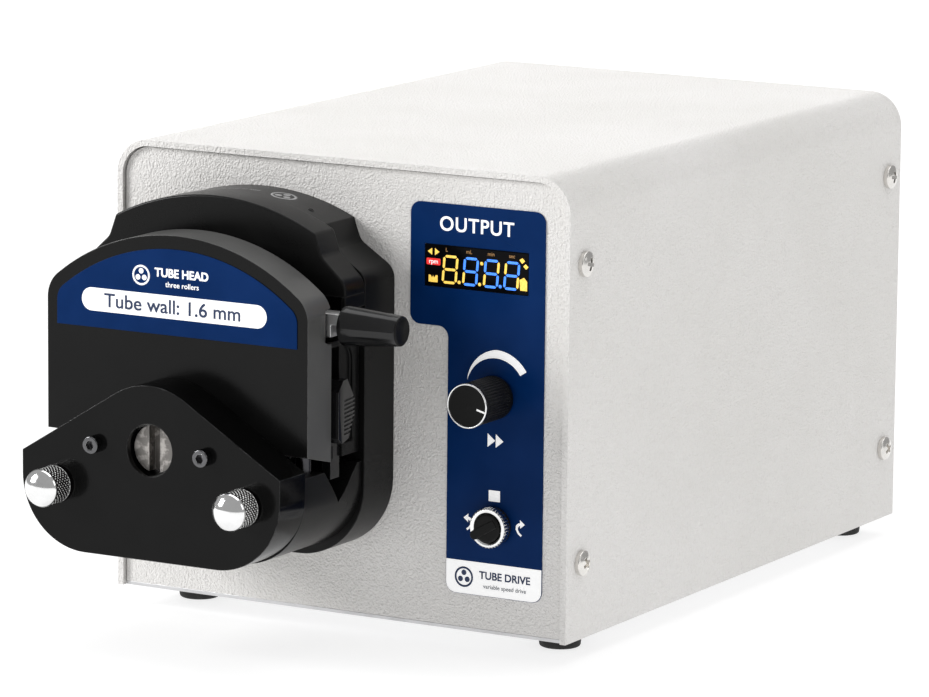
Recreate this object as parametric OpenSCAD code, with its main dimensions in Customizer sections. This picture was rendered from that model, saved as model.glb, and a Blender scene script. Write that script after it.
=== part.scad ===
// Bench peristaltic pump: a sheet metal drive cabinet with an easy-load pump head.
// +Z is up and the control panel faces -Y. The origin is the middle of the
// bounding box, on the surface that the rubber feet stand on.

/* [Cabinet] */
// Width over the cover
cab_w = 165; // [160:1:190]
// Height of the cover, without the feet
cab_h = 146; // [140:1:180]
// Depth of the cover
cab_d = 235; // [220:1:280]
// Sheet thickness of the cover
sheet = 2; // [1.5:0.1:2.5]
// Outer bend radius along the cover's top edges
bend_r = 11.5; // [8:0.5:14]
// Distance of the front and rear panels inside the cover's edges
recess = 1.5; // [1:0.5:3]
// Gap around the front and rear panels
panel_gap = 0.4; // [0.3:0.1:1]
// Height of the rubber feet
foot_h = 6.8; // [5:0.1:12]
// Distance of the feet from the middle of the cabinet
foot_x = 67; // [60:0.5:70]
// Distance of the front feet behind the cover's front edge
foot_front = 25; // [15:1:40]
// Distance of the rear feet from the cover's rear edge
foot_rear = 9; // [8:1:30]
// Height of the lower cover screws
screw_low = 24.5; // [20:0.5:30]
// Height of the upper cover screws
screw_high = 118.5; // [100:0.5:125]
// Distance of the cover screws from the cover's front and rear edges
screw_inset = 9.3; // [8:0.1:12]

/* [Control panel] */
// Middle of the knobs, to the right of the cabinet's middle
knob_x = 56.2; // [54:0.1:60]
// Height of the speed knob
knob_z = 75.5; // [70:0.5:80]
// Height of the direction selector
selector_z = 34.7; // [30:0.1:38]
// Width of the display window
window_w = 37; // [30:0.5:38]
// Height of the display window
window_h = 13.4; // [10:0.1:14]
// Height of the middle of the display window
window_z = 114.9; // [110:0.1:118]

/* [Pump head] */
// Offset of the rotor axis from the cabinet's middle
head_x = -28.2; // [-32:0.1:-26]
// Height of the rotor axis above the cover's lower edge
axis_h = 60.8; // [55:0.1:65]
// Half of the head's width
head_half = 47.2; // [47.2:0.1:48]
// Thickness of the head's base plate
base_t = 18; // [16:0.5:20]
// Thickness of the arch frame
arch_t = 12; // [11:0.5:12]
// Thickness of the front plate
plate_t = 15; // [12:0.5:16]
// Distance from the base plate to the front plate
chamber_d = 34; // [34:0.5:36]
// Depth of the lifting block's front cover
cover_d = 14; // [12:0.5:14]
// How far the block lifts for loading a tube
lift = 12; // [8:0.5:12]
// Height of the lever's pivot above the rotor axis
pivot_z = 39; // [38.5:0.5:40]
// Length of the lever from its pivot to the grip
lever_len = 50.5; // [50.5:0.5:54]
// Length of the grip
grip_len = 20; // [18:1:30]

/* [Rotor and tube] */
// Diameter of the rollers
roller_d = 16; // [14:0.5:16]
// Distance of the roller axles from the rotor axis
roller_pitch = 17; // [16.5:0.5:17]
// Number of rollers
roller_count = 3;
// Wall thickness of the tube that the head takes
tube_wall = 1.6; // [1.6:0.1:2.4]
// Play between the rollers and the bed, as a part of two tube walls
squeeze = 0.85; // [0.7:0.05:0.95]
// Middle of the tube behind the front plate
tube_back = 21; // [20.5:0.5:21.5]

/* [Hidden] */
$fn = 96;

over = 1;             // how far a cutting shape runs past the surface it cuts
slip = 0.05;          // radial clearance of a turning shaft in its bore
play = 0.5;           // gap between parts that slide past each other

// Cabinet, measured from the cover's front and lower edges
panel_t = 2;
floor_t = 1.2;
panel_back = recess + panel_t;
rear_inner = cab_d - recess - panel_t;
rear_outer = cab_d - recess;
panel_inset = sheet + panel_gap;
flange_t = 1.6;
flange_d = 16;
label_t = 0.4;
label_y = recess - label_t;
bezel_front = -3.4;
bezel_bore = 9.5;
selector_front = bezel_front - 0.8;
m4_d = 4;
m4_head_d = 8;
m4_head_h = 2.6;
m3_d = 3;
m3_head_d = 5.5;
m3_head_h = 3;
foot_stem_d = 6;
inlet_x = 48;
inlet_z = 34;
rocker_z = 70;
socket_x = 2;
fan_x = -38;
fan_z = 92;
fan_size = 60;
fan_t = 15;
fan_hole_pitch = 50;
encoder_d = 6;        // shaft of the speed knob
encoder_front = -14;  // where that shaft ends inside the knob
socket_reach = 5.5;   // how far the data socket's shell stands out of the rear panel

// Pump head, along Y from the cover's front edge
base_front = recess - base_t;
arch_front = base_front - arch_t;
plate_back = base_front - chamber_d;
plate_front = plate_back - plate_t;
cover_front = plate_back + 0.2;
cover_back = cover_front + cover_d;
bed_back = base_front - play;
tube_y = plate_back + tube_back;
arm_back = arch_front - 0.75;
arm_front = cover_back + 0.55;
hub_r = 9;            // hub of the lever arm, and the bed's boss behind it

// Pump head, across and up from the rotor axis
plate_bottom = -34.8;
body_bottom = -35.5;
body_top = -6.5;
body_half = 46.8;
bed_half = 46;
bed_top = 33.5;
bed_bottom = -3.5;
bottom_r = 23;
thumb_x = 34.2;
thumb_z = -14;
thumb_d = 12;
thumb_knurl = 9;
thumb_dome = 3;
thumb_thread = 5;
thumb_neck = 0.8;
rod_x = 41;
rod_y = cover_front + 8.3;
rod_d = 5;
rod_low = -21;
rod_high = 30;
plate_screw_x = 20;
notch_z = -17.5;
roller_reach = roller_pitch + roller_d / 2;
bed_r = roller_reach + 2 * tube_wall * squeeze;
disc_r = roller_reach - 1;
disc_t = 2.6;
rear_disc_y = base_front - 0.7;
roller_back = rear_disc_y - disc_t - 0.3;
roller_front = roller_back - 20;
front_disc_y = roller_front - 0.3;
shaft_d = 12;
journal_d = 15;
bearing_t = 5;
front_bearing_d = 24;
rear_bearing_d = 21;
retainer_t = 2.5;
retainer_gap = 0.3;
bearing_back = plate_back - retainer_gap - retainer_t;
shaft_front = plate_front + 3;
tang_t = 3.9;
slot_w = 4;
coupling_d = 14.6;
coupling_front = recess - 9.9;
coupling_back = panel_back + 3.9;
tang_back = recess - 4.7;

// Cam that lifts the block: a spiral slot on a fixed pin
pin_d = 4;
lever_shaft_d = 10;
cam_bore_d = 8;
cam_r_min = 8;
cam_t = 5;
cam_y = base_front + 0.7;
cam_pocket_back = cam_y + cam_t + 1.8;
slot_half = pin_d / 2 + 0.15;
cam_wall = 2.85;

// Motor
motor_w = 56.4;
motor_hole = 47.14 / 2;
motor_plate_t = 6;
motor_y = panel_back + motor_plate_t;
motor_cap_t = 6;
motor_stack_l = 46;
motor_stack_y = motor_y + motor_cap_t;
motor_rear_y = motor_stack_y + motor_stack_l;
motor_rear_t = 10;
motor_shaft_d = 6.35;
mount_screw_x = 35;
mount_screw_z = 25;
m5_d = 5;

// The bounding box reaches from the thumb screws to the data socket
head_reach = -plate_front + thumb_knurl + thumb_dome;
rear_reach = socket_reach - recess;
front_y = (head_reach - cab_d - rear_reach) / 2;

// ---- Shapes used by several parts ----

module in_cabinet() translate([0, front_y, foot_h]) children();
module in_head() translate([head_x, front_y, foot_h + axis_h]) children();

// Extrudes an outline drawn in X and Z between two places along Y.
module extrude_y(from, to) translate([0, to, 0]) rotate([90, 0, 0])
    linear_extrude(to - from) children();

// Extrudes an outline drawn in Y and Z between two places along X.
module extrude_x(from, to) translate([from, 0, 0]) rotate([90, 0, 90])
    linear_extrude(to - from) children();

// A round bar along Y at one place in X and Z.
module bar_y(d, from, to, x = 0, z = 0) translate([x, to, z]) rotate([90, 0, 0])
    cylinder(d = d, h = to - from);

module bar_x(d, from, to, y = 0, z = 0) translate([from, y, z]) rotate([0, 90, 0])
    cylinder(d = d, h = to - from);

function unit(v) = v / norm(v);
function half_angle(p, a, b) = acos(unit(a - p) * unit(b - p)) / 2;
function corner_middle(p, a, b, r) =
    p + unit(unit(a - p) + unit(b - p)) * r / sin(half_angle(p, a, b));
function corner_cut(p, a, b, r) = r == 0 ? [p] :
    let (t = r / tan(half_angle(p, a, b))) [p + unit(a - p) * t, p + unit(b - p) * t];

// A convex outline with a radius at each corner.
module rounded(points, radii) {
    n = len(points);
    polygon([for (i = [0:n - 1])
        each corner_cut(points[i], points[(i + n - 1) % n], points[(i + 1) % n], radii[i])]);
    for (i = [0:n - 1]) if (radii[i] > 0)
        translate(corner_middle(points[i], points[(i + n - 1) % n], points[(i + 1) % n], radii[i]))
            circle(radii[i]);
}

module rounded_box(x0, z0, x1, z1, r)
    rounded([[x0, z0], [x1, z0], [x1, z1], [x0, z1]], [r, r, r, r]);

// A plate with straight sides, a crowned top and rounded top corners.
module crowned(half_w, bottom, apex, crown_r, corner_r) {
    crown_z = apex - crown_r;
    crossing = 0.03;  // lifts the corner circles, so that they cross the crown
    fillet_x = half_w - corner_r;
    fillet_z = crown_z + sqrt(pow(crown_r - corner_r, 2) - pow(fillet_x, 2)) + crossing;
    touch_x = fillet_x * crown_r / (crown_r - corner_r);
    intersection() {
        translate([0, crown_z]) circle(crown_r);
        translate([-touch_x, bottom]) square([2 * touch_x, apex - bottom + over]);
    }
    translate([-half_w, bottom]) square([2 * half_w, fillet_z - bottom]);
    for (s = [-1, 1]) translate([s * fillet_x, fillet_z]) circle(corner_r);
}

// The head's rear outline: a crown whose ends run down to shoulders in an S shape.
module shouldered(half_w, bottom, bottom_corner, crown_half, apex) {
    crown_r = 79;
    shoulder_r = 6;
    neck_r = 5.5;
    crown_z = apex - crown_r;
    crown_end = [crown_half, crown_z + sqrt(pow(crown_r, 2) - pow(crown_half, 2))];
    neck = crown_end + [2.5, -7];
    shoulder = [half_w, crown_end[1] - 15];
    beyond = 3 * crown_end - 2 * neck;  // carries the neck's side on past the crown
    rounded([[-half_w, bottom], [half_w, bottom], shoulder, neck, [-neck[0], neck[1]],
        [-shoulder[0], shoulder[1]]], [bottom_corner, bottom_corner, shoulder_r, 0, 0, shoulder_r]);
    intersection() {
        translate([0, crown_z]) circle(crown_r);
        polygon([neck - [0, over], neck, beyond, [-beyond[0], beyond[1]], [-neck[0], neck[1]],
            [-neck[0], neck[1] - over]]);
    }
    for (s = [0, 1]) mirror([s, 0]) difference() {
        polygon(concat([neck - [over, over]], corner_cut(neck, shoulder, beyond, neck_r)));
        translate(corner_middle(neck, shoulder, beyond, neck_r)) circle(neck_r + 0.02);
    }
}

// The cover's outline, moved inwards all round; drop carries its sides downwards.
module cabinet_profile(inset, drop = 0) {
    w = cab_w - 2 * inset;
    h = cab_h - inset;
    r = bend_r - inset;
    translate([-w / 2, -drop]) square([w, h - r + drop]);
    translate([-w / 2 + r, -drop]) square([w - 2 * r, h + drop]);
    for (s = [-1, 1]) translate([s * (w / 2 - r), h - r]) circle(r);
}

module cover_screw_places() for (y = [screw_inset, cab_d - screw_inset])
    for (z = [screw_low, screw_high]) translate([0, y, z]) children();

module foot_places() for (x = [-foot_x, foot_x])
    for (y = [foot_front, cab_d - foot_rear]) translate([x, y, 0]) children();

// A pan head screw along -Z: its head stands on z = 0 and its shank runs below.
module pan_screw(d, head_d, head_h, length) {
    dome_r = (pow(head_d / 2, 2) + pow(head_h, 2)) / (2 * head_h);
    difference() {
        intersection() {
            cylinder(d = head_d, h = head_h);
            translate([0, 0, head_h - dome_r]) sphere(dome_r);
        }
        for (a = [0, 90]) rotate(a) translate([0, 0, head_h])
            cube([head_d * 0.55, head_d * 0.12, head_h], center = true);
    }
    translate([0, 0, -length]) cylinder(d = d, h = length);
}

// A socket head cap screw along -Z, with its head on z = 0.
module cap_screw(d, head_d, head_h, length) {
    difference() {
        cylinder(d = head_d, h = head_h);
        translate([0, 0, head_h * 0.45]) cylinder(d = head_d * 0.52, h = head_h, $fn = 6);
    }
    translate([0, 0, -length]) cylinder(d = d, h = length);
}

// ---- Cabinet ----

module top_cover() color("whitesmoke") in_cabinet() difference() {
    extrude_y(0, cab_d) difference() {
        cabinet_profile(0);
        cabinet_profile(sheet, over);
    }
    cover_screw_places() bar_x(m4_d + 0.5, -cab_w, cab_w);
}

module chassis_base() color("gainsboro") in_cabinet() {
    half = cab_w / 2 - panel_inset;
    lip_h = 10;
    slot_l = 22;
    difference() {
        union() {
            translate([-half, recess, 0]) cube([2 * half, cab_d - 2 * recess, floor_t]);
            for (x = [-half, half - floor_t])
                translate([x, panel_back + flange_d + 2, 0])
                    cube([floor_t, rear_inner - panel_back - 2 * flange_d - 4, lip_h]);
            for (y = [panel_back, rear_inner - floor_t])
                translate([-half + 6, y, 0]) cube([2 * half - 12, floor_t, lip_h]);
        }
        foot_places() translate([0, 0, -over]) cylinder(d = foot_stem_d, h = floor_t + 2 * over);
        for (side = [-1, 1]) for (i = [0:9])
            translate([side * 38 - slot_l / 2, 80 + 8 * i, -over])
                cube([slot_l, 3, floor_t + 2 * over]);
    }
}

// A panel with return flanges on both sides; inwards is 1 at the front and -1 at the rear.
module flanged_panel(outer_y, inwards) {
    flange_low = 12;
    flange_high = cab_h - 16;
    inner_y = outer_y + inwards * panel_t;
    end_y = inner_y + inwards * flange_d;
    extrude_y(min(outer_y, inner_y), max(outer_y, inner_y)) intersection() {
        cabinet_profile(panel_inset);
        translate([-cab_w, floor_t]) square([2 * cab_w, cab_h]);
    }
    extrude_y(min(inner_y, end_y), max(inner_y, end_y)) intersection() {
        difference() {
            cabinet_profile(panel_inset);
            cabinet_profile(panel_inset + flange_t, over);
        }
        translate([-cab_w, flange_low]) square([2 * cab_w, flange_high - flange_low]);
    }
}

module front_panel() color("whitesmoke") in_cabinet() difference() {
    flanged_panel(recess, 1);
    cover_screw_places() bar_x(m4_d + 2 * slip, -cab_w, cab_w);
    through = panel_back + over;
    translate([head_x, 0, axis_h]) {
        bar_y(coupling_d + 3, 0, through);
        for (x = [-1, 1]) for (z = [-1, 1])
            bar_y(m4_d + 0.5, 0, through, x * mount_screw_x, z * mount_screw_z);
    }
    extrude_y(0, through) window_outline(0.2);
    bar_y(7.2, 0, through, knob_x, knob_z);
    bar_y(10.2, 0, through, knob_x, selector_z);
}

module rear_panel() color("whitesmoke") in_cabinet() difference() {
    flanged_panel(rear_outer, -1);
    cover_screw_places() bar_x(m4_d + 2 * slip, -cab_w, cab_w);
    extrude_y(rear_inner - over, cab_d) {
        translate([inlet_x, inlet_z]) square([28.4, 20.4], center = true);
        translate([inlet_x, rocker_z]) square([13.4, 19.4], center = true);
        translate([socket_x, inlet_z]) square([25.6, 9.6], center = true);
        translate([fan_x, fan_z]) vent_slots();
        for (p = rear_screw_places) translate(p) circle(d = m3_d + 0.4);
    }
}

// Vertical air slots that fill a circle in front of the fan.
module vent_slots() {
    vent_r = 26;
    slot_pitch = 6;
    vent_slot = 3;
    for (i = [-4:4]) {
        half = sqrt(pow(vent_r, 2) - pow(i * slot_pitch, 2));
        translate([i * slot_pitch - vent_slot / 2, -half]) square([vent_slot, 2 * half]);
    }
}

rear_screw_places = concat([for (s = [-1, 1]) [inlet_x + 20 * s, inlet_z]],
    [for (x = [-1, 1]) for (z = [-1, 1])
        [fan_x + x * fan_hole_pitch / 2, fan_z + z * fan_hole_pitch / 2]]);

module cover_screws() color("silver") in_cabinet() cover_screw_places() for (s = [0, 1])
    mirror([s, 0, 0]) translate([cab_w / 2, 0, 0]) rotate([0, 90, 0])
        pan_screw(m4_d, m4_head_d, m4_head_h, 8);

// Each foot pushes into a hole in the floor and snaps behind it with a wider end.
module rubber_feet() color("black") in_cabinet() foot_places() {
    translate([0, 0, -foot_h]) difference() {
        cylinder(d1 = 13, d2 = 14.4, h = foot_h);
        translate([0, 0, -over]) cylinder(d = 4, h = 2.5 + over);
    }
    cylinder(d = foot_stem_d, h = floor_t);
    translate([0, 0, floor_t]) cylinder(d1 = foot_stem_d + 2, d2 = foot_stem_d - 1, h = 3);
}

module window_outline(grow) translate([knob_x - 7.2, window_z])
    square([window_w + 2 * grow, window_h + 2 * grow], center = true);

module label_outline() {
    narrow_x = 39.1;
    wide_x = 25.4;
    right_x = 73.3;
    low_z = 11.9;
    step_z = 96;
    high_z = 134.6;
    corner_r = 3.5;
    rounded_box(narrow_x, low_z, right_x, high_z, corner_r);
    rounded_box(wide_x, step_z, right_x, high_z, corner_r);
    difference() {
        translate([narrow_x - corner_r, step_z - corner_r]) square(corner_r + over);
        translate([narrow_x - corner_r, step_z - corner_r]) circle(corner_r);
    }
}

module control_label() color("midnightblue") in_cabinet() extrude_y(label_y, recess)
    difference() {
        label_outline();
        window_outline(0);
        translate([knob_x, knob_z]) circle(d = 7.4);
        translate([knob_x, selector_z]) circle(d = 10.4);
    }

module display_window() color("black") in_cabinet() {
    extrude_y(label_y, panel_back) window_outline(-0.1);
    extrude_y(panel_back, panel_back + 0.8) window_outline(1.2);
}

// The display block, its circuit board and a plug on the board.
module display_module() color("darkgreen") in_cabinet()
    translate([knob_x - 7.2, panel_back + 1, window_z]) {
        translate([-19, 0, -7]) cube([38, 7, 14]);
        translate([-22, 7, -11]) cube([44, 1.6, 20.5]);
        translate([-10, 8.6, -10]) cube([20, 10.4, 2.5]);
    }

// A board with a processor, a heat sink, a relay and two capacitors.
module control_board() color("darkgreen") in_cabinet() {
    board_y = panel_back + 20;
    difference() {
        translate([27, board_y, 22]) cube([46, 1.6, 110]);
        for (x = [31, 69]) for (z = [26, 128]) bar_y(m3_d + 0.2, board_y - over, board_y + 3, x, z);
    }
    translate([34, board_y + 1.6, 92]) cube([14, 1.4, 14]);
    translate([55, board_y + 1.6, 40]) cube([8, 9, 22]);
    translate([34, board_y + 1.6, 30]) cube([10, 7, 30]);
    for (z = [70, 82]) bar_y(8, board_y + 1.6, board_y + 13, 62, z);
}

module board_standoffs() color("gold") in_cabinet() for (x = [31, 69]) for (z = [26, 128]) {
    bar_y(6, panel_back, panel_back + 20, x, z);
    bar_y(m3_d, panel_back + 20, panel_back + 24, x, z);
}

// Housing, threaded bush and nut of the speed knob's encoder.
module encoder_body() color("silver") in_cabinet() translate([knob_x, 0, knob_z]) difference() {
    union() {
        translate([-6, panel_back, -6.2]) cube([12, 7, 12.4]);
        bar_y(7, -3.4, panel_back);
        translate([0, label_y, 0]) rotate([90, 0, 0]) cylinder(d = 10.5, h = 2, $fn = 6);
    }
    bar_y(encoder_d + 2 * slip, -4, panel_back + 5);
}

module encoder_shaft() color("gainsboro") in_cabinet()
    bar_y(encoder_d, encoder_front, panel_back + 4.8, knob_x, knob_z);

// The knob is hollow around the nut and the shaft.
module speed_knob() color("black") in_cabinet() translate([knob_x, 0, knob_z]) difference() {
    knob_front = -17;
    bar_y(14, knob_front, label_y - 0.6);
    bar_y(11.5, -3.9, label_y);
    bar_y(encoder_d, encoder_front, 0);
}

// Collar, threaded bush and housing of the direction switch.
module selector_body() color("black") in_cabinet() translate([knob_x, 0, selector_z])
    difference() {
        union() {
            bar_y(12.2, -0.3, label_y);
            bar_y(10, label_y, panel_back);
            bar_y(16, panel_back, panel_back + 17);
        }
        bar_y(4 + 2 * slip, -over, 12);
    }

module selector_bezel() color("silver") in_cabinet() translate([knob_x, 0, selector_z])
    difference() {
        bar_y(12.8, bezel_front, -0.3);
        bar_y(bezel_bore, bezel_front - over, 0);
    }

// A cap with a stem and a finger that points at the chosen direction.
module selector_knob() color("black") in_cabinet() translate([knob_x, 0, selector_z]) {
    finger_angle = 210;
    finger_back = bezel_front - 0.1;
    bar_y(bezel_bore - play, selector_front, -0.4);
    bar_y(4, -0.4, 11);
    extrude_y(selector_front, finger_back) rotate(finger_angle) {
        translate([0, -1.6]) square([4.8, 3.2]);
        translate([4.8, 0]) circle(1.6);
    }
}

// A board on posts, with a transformer, a choke, a heat sink and three capacitors.
module power_supply() color("darkolivegreen") in_cabinet() translate([8, 96, floor_t]) {
    for (x = [4, 58]) for (y = [5, 95]) translate([x, y, 0]) cylinder(d = 6, h = 8);
    translate([0, 0, 8]) cube([62, 100, 1.6]);
    translate([20, 38, 9.6]) cube([26, 24, 22]);
    translate([6, 10, 9.6]) cube([50, 14, 18]);
    for (x = [14, 34, 50]) translate([x, 80, 9.6]) cylinder(d = 14, h = 24);
    translate([4, 30, 9.6]) cube([4, 40, 28]);
}

// A flanged housing with a pocket for the plug and three contact blades in it.
module power_inlet() color("black") in_cabinet() translate([inlet_x, rear_outer, inlet_z]) {
    flange_out = 3;
    pocket_d = 16;
    difference() {
        union() {
            extrude_y(0, flange_out) rounded_box(-25, -12, 25, 12, 3);
            extrude_y(-26, 0) square([28, 20], center = true);
        }
        extrude_y(flange_out - pocket_d, flange_out + over)
            polygon([[-12.2, -8.2], [12.2, -8.2], [12.2, 2.5], [7, 8.2], [-7, 8.2], [-12.2, 2.5]]);
        for (s = [-1, 1]) bar_y(m3_d + 0.4, -over, flange_out + over, 20 * s, 0);
    }
    for (p = [[-7, -2], [7, -2], [0, 2]]) translate([p[0] - 1, flange_out - pocket_d - over, p[1] - 3])
        cube([2, 11 + over, 5]);
}

// A flanged frame that the power rocker sits in.
module rocker_frame() color("black") in_cabinet() translate([inlet_x, rear_outer, rocker_z])
    difference() {
        union() {
            extrude_y(0, 1.8) rounded_box(-7.5, -10.5, 7.5, 10.5, 1.5);
            extrude_y(-18, 0) square([13, 19], center = true);
        }
        extrude_y(-10, 3) square([10.4, 17.4], center = true);
    }

// The switch key rocks about X, and rests with its lower end pressed in.
module power_rocker() color("firebrick") in_cabinet() translate([inlet_x, rear_outer - 3, rocker_z])
    rotate([rocker_tilt, 0, 0]) {
        extrude_x(-5, 5) polygon([[-4, -4], [-4, 4], [0, 7.9], [5.6, 7.8], [3.6, 0], [5.6, -7.8],
            [0, -7.9]]);
        bar_x(2.4, -5.1, 5.1);
    }
rocker_tilt = -7;

// A flange, a D shaped shell, the body behind them and two hexagonal posts.
module data_socket() color("silver") in_cabinet() translate([socket_x, rear_outer, inlet_z]) {
    extrude_y(0, 1) rounded_box(-19.5, -6.2, 19.5, 6.2, 1);
    extrude_y(1, socket_reach) rounded([[-11.6, -3.9], [11.6, -3.9], [12.6, 3.9], [-12.6, 3.9]],
        [1.5, 1.5, 1.5, 1.5]);
    extrude_y(-9, 0) square([24, 8], center = true);
    for (s = [-1, 1]) translate([16.6 * s, socket_reach - 0.5, 0]) rotate([90, 0, 0])
        cylinder(d = 5.4, h = socket_reach - 1.5, $fn = 6);
}

// A square frame with the motor on four arms, and the axle of the rotor.
module fan_frame() color("dimgray") in_cabinet() translate([fan_x, rear_inner - fan_t, fan_z]) {
    difference() {
        extrude_y(0, fan_t) rounded_box(-fan_size / 2, -fan_size / 2, fan_size / 2, fan_size / 2, 4);
        bar_y(56.5, -over, fan_t + over);
        for (x = [-1, 1]) for (z = [-1, 1])
            bar_y(m3_d + 0.4, -over, fan_t + over, x * fan_hole_pitch / 2, z * fan_hole_pitch / 2);
    }
    bar_y(24, 0, 2.5);
    bar_y(3, 2.5, 11);
    for (a = [0:90:270]) rotate([0, a, 0]) translate([11, 0, -2]) cube([18, 2.5, 4]);
}

module fan_rotor() color("black") in_cabinet() translate([fan_x, rear_inner - fan_t, fan_z]) {
    blade_count = 7;
    blade_r = 27.2;
    difference() {
        union() {
            bar_y(24, 3.2, 13.2);
            intersection() {
                bar_y(2 * blade_r, 3.2, 13.2);
                for (i = [0:blade_count - 1]) rotate([0, 360 / blade_count * i, 0])
                    translate([8, 8.2, 0]) rotate([38, 0, 0]) cube([blade_r, 1.4, 12], center = false);
            }
        }
        bar_y(3 + 2 * slip, 2, 11.4);
    }
}

module rear_screws() color("silver") in_cabinet() for (i = [0:len(rear_screw_places) - 1])
    translate([rear_screw_places[i][0], i < 2 ? rear_outer + 3 : rear_outer, rear_screw_places[i][1]])
        rotate([-90, 0, 0]) pan_screw(m3_d, 5.6, 2, 12);

// ---- Motor ----

// The plate that joins the motor to the front panel and to the head.
module motor_plate() color("silver") in_head() difference() {
    plate_half = 42;
    extrude_y(panel_back, motor_y) rounded_box(-plate_half, -plate_half, plate_half, plate_half, 4);
    bar_y(38.2, 0, motor_y + over);
    for (x = [-1, 1]) for (z = [-1, 1]) {
        bar_y(m5_d + 0.1, 0, motor_y + over, x * motor_hole, z * motor_hole);
        bar_y(m4_d + 0.5, 0, motor_y + over, x * mount_screw_x, z * mount_screw_z);
    }
}

module motor_outline() difference() {
    notch = 18.4;
    square(motor_w, center = true);
    for (x = [-1, 1]) for (z = [-1, 1]) translate([x * (notch + 10), z * (notch + 10)])
        square(20, center = true);
}

module motor_front_cap() color("silver") in_head() difference() {
    union() {
        bar_y(38.1, motor_y - 1.6, motor_y);
        extrude_y(motor_y, motor_stack_y)
            rounded_box(-motor_w / 2, -motor_w / 2, motor_w / 2, motor_w / 2, 4);
    }
    bar_y(motor_shaft_d + 2 * slip, 0, motor_stack_y + over);
    for (x = [-1, 1]) for (z = [-1, 1])
        bar_y(m5_d + 0.2, 0, motor_stack_y + over, x * motor_hole, z * motor_hole);
}

module motor_stack() color("dimgray") in_head() difference() {
    extrude_y(motor_stack_y, motor_rear_y) motor_outline();
    bar_y(30.4, 0, motor_rear_y + over);
}

module motor_rear_cap() color("silver") in_head() difference() {
    extrude_y(motor_rear_y, motor_rear_y + motor_rear_t) motor_outline();
    bar_y(motor_shaft_d + 2 * slip, 0, motor_rear_y + motor_rear_t - 2);
}

module motor_shaft() color("gainsboro") in_head() {
    bar_y(motor_shaft_d, tang_back + 1.3, motor_rear_y + motor_rear_t - 2.5);
    bar_y(30, motor_stack_y + 2, motor_rear_y - 2);
}

module motor_screws() color("silver") in_head() for (x = [-1, 1]) for (z = [-1, 1])
    translate([x * motor_hole, motor_stack_y, z * motor_hole]) rotate([-90, 0, 0])
        cap_screw(m5_d, 8.5, 5, motor_stack_y - panel_back - 0.5);

module head_mount_screws() color("silver") in_head() for (x = [-1, 1]) for (z = [-1, 1])
    translate([x * mount_screw_x, motor_y, z * mount_screw_z]) rotate([-90, 0, 0])
        cap_screw(m4_d, 7, 4, motor_y - recess + 10);

module drive_coupling() color("silver") in_head() difference() {
    bar_y(coupling_d, coupling_front, coupling_back);
    translate([-tang_t / 2 - 0.1, coupling_front - over, -coupling_d])
        cube([tang_t + 0.2, tang_back - coupling_front + 0.6 + over, 2 * coupling_d]);
    bar_y(motor_shaft_d, -coupling_d, coupling_back + over);
}

// ---- Pump head: fixed parts ----

module head_base_plate() color("dimgray") in_head() difference() {
    extrude_y(base_front, recess) shouldered(head_half + 0.6, -38.5, 24, 33, 74);
    bar_y(rear_bearing_d, base_front - over, base_front + bearing_t);
    bar_y(coupling_d + 1.4, base_front, recess + over);
    extrude_y(base_front - over, cam_pocket_back) rounded_box(-26.5, 24, 20.5, 66, 8);
    bar_y(pin_d, base_front, cam_pocket_back + 4, 0, pivot_z + cam_r_min + lift);
    for (x = [-1, 1]) for (z = [-1, 1])
        bar_y(m4_d + 0.1, recess - 10.5, recess + over, x * mount_screw_x, z * mount_screw_z);
}

module arch_frame() color("dimgray") in_head() difference() {
    boss_half = lever_shaft_d;
    extrude_y(arch_front, base_front) intersection() {
        shouldered(head_half + 0.6, 0, 0, 36.5, 74.6);
        translate([-2 * head_half, bed_top + lift + 1]) square([4 * head_half, 40]);
    }
    extrude_y(arch_front - over, base_front + over) {
        translate([-boss_half, 0]) square([2 * boss_half, pivot_z + lift]);
        translate([0, pivot_z + lift]) circle(boss_half);
    }
}

// A hollow body around the rotor, with a V notch on each side where the tube runs in.
module lower_body() color("dimgray") in_head() difference() {
    notch_fore = 10;
    notch_rear = 11.5;
    extrude_y(plate_back, base_front) intersection() {
        rounded([[-body_half, body_bottom], [body_half, body_bottom], [body_half, bottom_r],
            [-body_half, bottom_r]], [bottom_r, bottom_r, 0, 0]);
        translate([-head_half, body_bottom - over])
            square([2 * head_half, body_top - body_bottom + over]);
    }
    bar_y(2 * (roller_reach + 2), plate_back - over, base_front + over);
    extrude_x(-head_half, head_half) polygon([[tube_y, notch_z],
        [tube_y + notch_rear, body_top + over], [tube_y - notch_fore, body_top + over]]);
    for (s = [-1, 1]) {
        bar_y(thumb_thread + 2 * slip, plate_back - over, plate_back + 10, s * thumb_x, thumb_z);
        translate([s * rod_x, rod_y, rod_low]) cylinder(d = rod_d, h = body_top - rod_low + over);
    }
}

// Straight sides and a flat bottom, under two slopes that meet in a round apex.
module front_plate_outline() {
    half = 47;
    apex = 24.4;
    slope = 0.615;
    far = 80;
    intersection() {
        rounded([[-half, plate_bottom], [half, plate_bottom], [half, far], [-half, far]],
            [bottom_r, bottom_r, 0, 0]);
        rounded([[-far, -far], [far, -far], [far, apex - slope * far], [0, apex],
            [-far, apex - slope * far]], [0, 0, 0, 24, 0]);
    }
}

// The plate holds the front bearing, and its bottom matches the lower body.
module front_plate() color("dimgray") in_head() difference() {
    extrude_y(plate_front, plate_back) front_plate_outline();
    bar_y(16.4, plate_front - over, plate_back);
    bar_y(front_bearing_d, bearing_back - bearing_t, plate_back + over);
    extrude_y(bearing_back, plate_back + over) retainer_outline(0.2);
    for (s = [-1, 1]) {
        bar_y(m3_d + 0.2, plate_front - over, plate_back, s * plate_screw_x, 0);
        bar_y(thumb_thread + 2 * slip, plate_front - over, plate_back + over, s * thumb_x, thumb_z);
    }
}

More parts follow.
